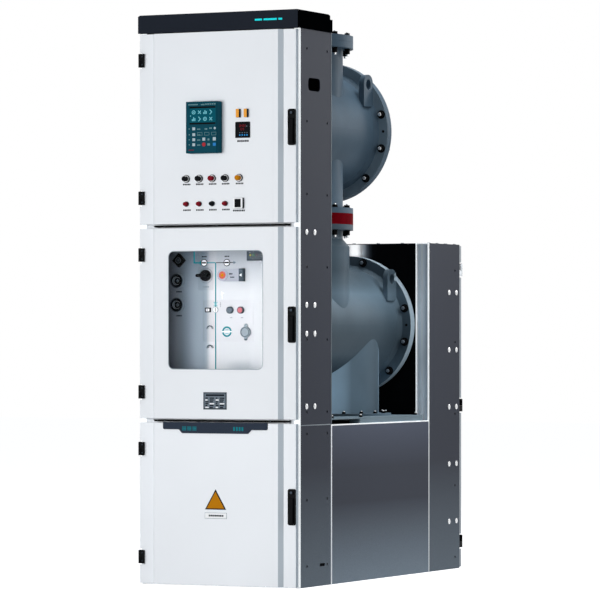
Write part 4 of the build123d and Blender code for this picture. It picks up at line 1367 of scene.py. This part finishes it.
class CUBICLE_OT_lower_plates(bpy.types.Operator):
    """Fix the blank amber triangle and the small plate on the lower door"""

    bl_idname = "cubicle.lower_plates"
    bl_label = "Lower door plates"

    def execute(self, context):
        door = Relief(DOOR_FACE, "amber", "ink", "edge_dull", "white")
        low_z, height, sheet = 0.322, 0.085, 0.0008
        stretch = Matrix.Diagonal((1.02, 1.0, 1.0, 1.0))
        for key, border, off in (("ink", 0.0, 0.0), ("amber", 0.010, sheet)):
            at = facing((SIDE_X - 0.375, DOOR_FACE - off, low_z + height / 3), FRONT) @ stretch
            add_bar(door.bm, 3, height * 2 / 3 - border, sheet, at, 0.0, door.keys.index(key))
        x, z = (SIDE_X - 0.426, SIDE_X - 0.322), (0.284, 0.309)
        rim, ground = 0.0016, 0.0003
        door.plate(x, z, "edge_dull", sheet, 0.0002)
        door.plate((x[0] + rim, x[1] - rim), (z[0] + rim, z[1] - rim), "white", ground, off=sheet)
        door.marks(sum(x) / 2 + 0.002, sum(z) / 2, 0.0070,
                   [0.0070, 0.0080, 0.0060, 0.0095, 0.0080, 0.0100, 0.0075], "ink", sheet + ground)
        door.finish("lower_door_plates", "lower_door")
        return {"FINISHED"}


class CUBICLE_OT_rail_marks(bpy.types.Operator):
    """Put plain teal marks on the label rail"""

    bl_idname = "cubicle.rail_marks"
    bl_label = "Rail marks"

    def execute(self, context):
        low, high = span("label_rail")
        z = high.z - 0.026
        thick = 0.0005
        rail = Relief(low.y, "teal")
        for step in range(3):
            for dx in (0.003, 0.0095, 0.016):
                x = low.x + 0.092 + step * 0.0245 + dx
                for dz in (-0.006, 0.0, 0.006):
                    rail.plate(around(x, 0.005), around(z + dz, 0.0044), "teal", thick)
        for step in range(4):
            x = low.x + 0.334 + step * 0.0130
            rail.plate((x, x + 0.0080), around(z, 0.0164), "teal", thick, 0.0002)
        rail.finish("rail_marks", "lower_door")
        return {"FINISHED"}


# ---- Operators: operating panel -----------------------------------------------------------


CONTROL_SHEET = 0.0012


def inward(u):
    """X from a distance inward from the cabinet's right side, in millimetres."""
    return SIDE_X - u / 1000


class CUBICLE_OT_control_plates(bpy.types.Operator):
    """Fit the thin plates behind the controls"""

    bl_idname = "cubicle.control_plates"
    bl_label = "Control plates"

    def execute(self, context):
        plates = Relief(PANEL_FACE, "plate", "plate_grey")
        for right, left, low, high, key in ((459, 519, 1026, 1202, "plate_grey"),
                                            (279, 455, 1026, 1202, "plate"),
                                            (469, 541, 1244, 1343, "plate_grey")):
            x, z = (inward(left), inward(right)), (low / 1000, high / 1000)
            plates.rounded_plate(x, z, 0.004, key, CONTROL_SHEET)
        plates.finish("control_plates")
        return {"FINISHED"}


MIMIC_X = inward(457)
MIMIC_Z = 1.360
# Each line's right and left end, inward from the right side, its low and high end and its width, in
# millimetres, and its finish
MIMIC_LINES = (
    (560, 560, 1358, 1409, 6.0, "teal"),
    (524, 557, 1360, 1360, 6.0, "teal"),
    (530, 530, 1350, 1370, 4.0, "teal"),
    (457, 500, 1360, 1360, 4.0, "teal"),
    (457, 457, 1172, 1358, 4.5, "teal"),
    (457, 457, 908, 1150, 4.5, "teal"),
    (415, 455, 1360, 1360, 3.0, "black_ink"),
    (372, 392, 1360, 1360, 3.0, "black_ink"),
)


class CUBICLE_OT_mimic_diagram(bpy.types.Operator):
    """Draw the mimic diagram's lines and position indicators"""

    bl_idname = "cubicle.mimic_diagram"
    bl_label = "Mimic diagram"

    def execute(self, context):
        mimic = Relief(PANEL_FACE, "teal", "teal_pale", "black_ink", "white", "grey")
        for right, left, low, high, width, key in MIMIC_LINES:
            x, z = (inward(left), inward(right)), (low / 1000, high / 1000)
            if right == left:
                x = around(x[0], width / 1000)
            else:
                z = around(z[0], width / 1000)
            mimic.plate(x, z, key, 0.0018)
        mimic.bar(3, inward(368), MIMIC_Z, 0.008, "grey", 0.0012, spin=-math.pi / 2)
        for x in (inward(512), inward(403.5)):
            mimic.disc(x, MIMIC_Z, 0.0155, "black_ink", 0.002)
            mimic.disc(x, MIMIC_Z, 0.0122, "white", 0.003, 0.0006)
            mimic.plate(around(x, 0.0220), around(MIMIC_Z, 0.0064), "black_ink", off=0.003)
            mimic.marks(x, MIMIC_Z + 0.0265, 0.0055, [0.0060, 0.0055, 0.0065], "black_ink")
        for tilt in (0.8, -0.8):
            mimic.plate(around(MIMIC_X, 0.0250), around(1.1846, 0.0036), "teal_pale", 0.0024, tilt=tilt)
        mimic.disc(MIMIC_X, 1.161, 0.0125, "grey", 0.002, off=CONTROL_SHEET)
        mimic.disc(MIMIC_X, 1.161, 0.0110, "white", 0.003, 0.0006, CONTROL_SHEET)
        mimic.plate(around(MIMIC_X, 0.0028), around(1.161, 0.016), "black_ink", off=CONTROL_SHEET + 0.003)
        for z, width in ((1.1895, 0.0030), (1.1825, 0.0036), (1.1755, 0.0030)):
            mimic.marks(inward(434), z, 0.0040, [width], "grey", CONTROL_SHEET)
        mimic.bar(3, inward(426), 1.230, 0.010, "white", 0.0010, spin=-math.pi / 2)
        mimic.plate((inward(428), inward(424)), (1.205, 1.224), "white", 0.0010)
        mimic.finish("mimic_diagram")
        return {"FINISHED"}


class CUBICLE_OT_control_faces(bpy.types.Operator):
    """Detail the sockets, the interlock, the indicator, the counter and the buttons"""

    bl_idname = "cubicle.control_faces"
    bl_label = "Control faces"

    def execute(self, context):
        panel = Relief(PANEL_FACE, "zinc", "grey", "white", "ink", "rose", "grey_dark", "yellow", "green",
                       "red", "teal_pale", "amber", "teal", "coral")
        sheet = CONTROL_SHEET
        bar_x = (SOCKET_X - 0.002, SOCKET_X + 0.014)
        for z in SOCKET_HEIGHTS:
            panel.ring(SOCKET_X, z, 0.0285, 0.0020, "grey_dark", 0.0008, 0.024)
            panel.plate(bar_x, around(z, 0.005), "grey", 0.0012, 0.0004, 0.0236)
            panel.ring(SOCKET_X, z, 0.0165, 0.002, "zinc", 0.001, 0.015)
            panel.marks(SOCKET_X, z - 0.0460, 0.0060, [0.0045, 0.0060, 0.0050, 0.0055], "ink")
        panel.ring(*KEY_LOCK, 0.0125, 0.002, "grey", 0.0008, 0.016)
        panel.disc(*KEY_LOCK, 0.0055, "grey_dark", 0.001, 0.0003, 0.016)
        panel.ring(*KNOB, 0.032, 0.0012, "grey_dark", 0.0006, sheet)
        panel.marks(KNOB[0], KNOB[1] - 0.048, 0.0050, [0.0050, 0.0060, 0.0050, 0.0060], "grey", sheet)
        self.interlock(panel)
        for step, key in enumerate(("yellow", "green", "red")):
            panel.bar(16, 0.090 + step * 0.0150, LAMP_Z, 0.0034, key, 0.0016, 0.0004, 0.014)
        panel.plate((0.076, 0.140), (1.3705, 1.3735), "ink", 0.0005, off=0.014)
        panel.plate((-0.1265, -0.1105), (1.1545, 1.1655), "white", 0.0010, 0.0003, 0.004)
        panel.plate((-0.1225, -0.1185), (1.1570, 1.1630), "ink", off=0.005)
        for x, key in ((-0.011, "grey"), (0.040, "rose")):
            panel.disc(x, BUTTON_Z, 0.0112, key, 0.0030, 0.0008, 0.012)
            panel.marks(x + 0.004, BUTTON_Z - 0.032, 0.0034, [0.0040, 0.0035], "grey", sheet)
        x, z = INDICATOR
        panel.ring(x, z, 0.0225, 0.0070, "teal", 0.0008, sheet)
        panel.plate(around(x, 0.046), around(z, 0.005), "white", 0.0012, off=sheet)
        for dz in (0.008, -0.008):
            panel.plate(around(x, 0.016), around(z + dz, 0.0036), "teal_pale", 0.0006, off=sheet)
        panel.ring(*PORT, 0.0200, 0.0030, "grey_dark", 0.0010, 0.012)
        panel.plate(around(PORT[0], 0.012), (1.0330, 1.0365), "grey_dark", 0.0030, 0.0008, 0.006)
        panel.finish("control_faces")
        return {"FINISHED"}

    def interlock(self, panel):
        """The round plate, the marks and the pointer on the interlock's cover."""
        x, z = INTERLOCK
        panel.disc(x, z, 0.0160, "coral", 0.0010, 0.0003, 0.0170)
        panel.disc(x, z, 0.0070, "amber", 0.0006, off=0.0180)
        panel.marks(x + 0.038, z + 0.005, 0.0060, [0.0080, 0.0055], "ink", 0.012)
        panel.marks(x + 0.045, z - 0.009, 0.0050, [0.0060, 0.0045, 0.0050], "ink", 0.012)
        panel.bar(3, x + 0.088, z, 0.008, "white", 0.0008, off=0.017, spin=math.pi / 2)


# ---- Studio -------------------------------------------------------------------------------


def seen_directly(tree):
    """1 for what the camera, a mirror or glass shows of a surface, and 0 for light on others."""
    path = tree.nodes.new("ShaderNodeLightPath")
    total = path.outputs["Is Camera Ray"]
    for other in ("Is Transmission Ray", "Is Glossy Ray"):
        node = tree.nodes.new("ShaderNodeMath")
        node.operation = "MAXIMUM"
        tree.links.new(total, node.inputs[0])
        tree.links.new(path.outputs[other], node.inputs[1])
        total = node.outputs["Value"]
    return total


def make_floor():
    bm = bmesh.new()
    bmesh.ops.create_grid(bm, x_segments=1, y_segments=1, size=30.0)
    mesh = bpy.data.meshes.new("studio_floor")
    bm.to_mesh(mesh)
    bm.free()
    material = bpy.data.materials.new("studio_floor")
    material.use_nodes = True
    tree = material.node_tree
    shader = tree.nodes["Principled BSDF"]
    shader.inputs["Roughness"].default_value = 0.9
    shader.inputs["Specular IOR Level"].default_value = 0.0
    shader.inputs["Emission Color"].default_value = (1.0, 1.0, 1.0, 1.0)
    seen = seen_directly(tree)
    tone = tree.nodes.new("ShaderNodeMix")
    tone.data_type = "RGBA"
    tone.inputs[6].default_value = (0.34, 0.345, 0.35, 1.0)
    tone.inputs[7].default_value = (0.72, 0.73, 0.74, 1.0)
    tree.links.new(seen, tone.inputs[0])
    tree.links.new(tone.outputs[2], shader.inputs["Base Color"])
    scale = tree.nodes.new("ShaderNodeMath")
    scale.operation = "MULTIPLY"
    scale.inputs[1].default_value = 0.84
    tree.links.new(seen, scale.inputs[0])
    tree.links.new(scale.outputs["Value"], shader.inputs["Emission Strength"])
    mesh.materials.append(material)
    link_object("studio_floor", mesh)


def make_world():
    world = bpy.data.worlds.new("studio")
    bpy.context.scene.world = world
    world.use_nodes = True
    tree = world.node_tree
    background = tree.nodes["Background"]
    background.inputs["Color"].default_value = (0.94, 0.97, 1.0, 1.0)
    background.inputs["Strength"].default_value = 0.22
    white = tree.nodes.new("ShaderNodeBackground")
    white.inputs["Color"].default_value = (1.0, 1.0, 1.0, 1.0)
    mix = tree.nodes.new("ShaderNodeMixShader")
    tree.links.new(seen_directly(tree), mix.inputs["Fac"])
    tree.links.new(background.outputs["Background"], mix.inputs[1])
    tree.links.new(white.outputs["Background"], mix.inputs[2])
    tree.links.new(mix.outputs["Shader"], tree.nodes["World Output"].inputs["Surface"])


# Each light's name, place, aim, width, height, power in watts and spread in degrees
SOFTBOXES = (
    ("key_softbox", (-1.6, -8.5, 1.1), (0, -0.8, 0.8), 4.0, 4.0, 575, 180),
    ("right_softbox", (6.0, -1.0, 2.6), (0.2, 0.2, 1.2), 2.0, 3.5, 40, 180),
    ("top_softbox", (0.8, 0.8, 5.5), (0, 0.5, 1.2), 2.5, 2.5, 125, 180),
    ("rear_softbox", (3.0, 5.5, 3.0), (0, 0.6, 1.4), 2.0, 2.5, 60, 180),
    ("bay_softbox", (1.8, 0.05, 2.3), (0.15, 0.05, 0.92), 0.7, 0.7, 1.5, 55),
)


def make_lights():
    for name, place, aim, width, height, watts, spread in SOFTBOXES:
        light = bpy.data.lights.new(name, "AREA")
        light.spread = math.radians(spread)
        light.shape = "RECTANGLE"
        light.size = width
        light.size_y = height
        light.energy = watts
        lamp = link_object(name, light)
        lamp.location = place
        lamp.rotation_euler = (Vector(aim) - Vector(place)).to_track_quat("-Z", "Y").to_euler()


def make_camera():
    """A long lens, level, at the cubicle's front right, aimed past its near corner."""
    turn = math.radians(26.44)
    distance = 15.984
    height = 1.025
    data = bpy.data.cameras.new("camera")
    data.lens = 230.8
    data.sensor_width = 36.0
    data.shift_y = 0.0697
    data.clip_end = 200.0
    camera = link_object("camera", data)
    forward = Vector((-math.sin(turn), math.cos(turn), 0))
    camera.location = Vector((SIDE_X, FRONT_Y, height)) - forward * distance
    camera.rotation_euler = forward.to_track_quat("-Z", "Y").to_euler()
    bpy.context.scene.camera = camera


class CUBICLE_OT_stage(bpy.types.Operator):
    """Set the floor, the lights and the camera"""

    bl_idname = "cubicle.stage"
    bl_label = "Studio"

    def execute(self, context):
        make_floor()
        make_world()
        make_lights()
        make_camera()
        context.scene.view_settings.view_transform = "Standard"
        return {"FINISHED"}


# ---- Panel and registration ---------------------------------------------------------------

OPERATORS = (
    CUBICLE_OT_finishes,
    CUBICLE_OT_part_finishes,
    CUBICLE_OT_tank_bolts,
    CUBICLE_OT_neck_bolts,
    CUBICLE_OT_foot_bolts,
    CUBICLE_OT_seam_strips,
    CUBICLE_OT_panel_plugs,
    CUBICLE_OT_roof_screws,
    CUBICLE_OT_cap_accent,
    CUBICLE_OT_window_seal,
    CUBICLE_OT_door_seals,
    CUBICLE_OT_door_folds,
    CUBICLE_OT_handle_ribs,
    CUBICLE_OT_hinge_screws,
    CUBICLE_OT_trim_screws,
    CUBICLE_OT_relay_face,
    CUBICLE_OT_meter_face,
    CUBICLE_OT_device_labels,
    CUBICLE_OT_name_plate,
    CUBICLE_OT_lower_plates,
    CUBICLE_OT_rail_marks,
    CUBICLE_OT_control_plates,
    CUBICLE_OT_mimic_diagram,
    CUBICLE_OT_control_faces,
    CUBICLE_OT_stage,
)


class CUBICLE_PT_panel(bpy.types.Panel):
    """The cubicle's pieces and settings"""

    bl_idname = "CUBICLE_PT_panel"
    bl_label = "Cubicle"
    bl_space_type = "VIEW_3D"
    bl_region_type = "UI"
    bl_category = "Cubicle"

    def draw(self, context):
        for operator in OPERATORS:
            self.layout.operator(operator.bl_idname)
        for group in (colours(), sizes()):
            for key in group.__annotations__:
                self.layout.prop(group, key)


CLASSES = (CubicleColours, CubicleSizes, *OPERATORS, CUBICLE_PT_panel)


def register():
    for cls in CLASSES:
        bpy.utils.register_class(cls)
    bpy.types.Scene.cubicle_colours = PointerProperty(type=CubicleColours)
    bpy.types.Scene.cubicle_sizes = PointerProperty(type=CubicleSizes)


def unregister():
    del bpy.types.Scene.cubicle_sizes
    del bpy.types.Scene.cubicle_colours
    for cls in reversed(CLASSES):
        bpy.utils.unregister_class(cls)


def main():
    register()
    for operator in OPERATORS:
        group, name = operator.bl_idname.split(".")
        getattr(getattr(bpy.ops, group), name)()


if __name__ == "__main__":
    main()
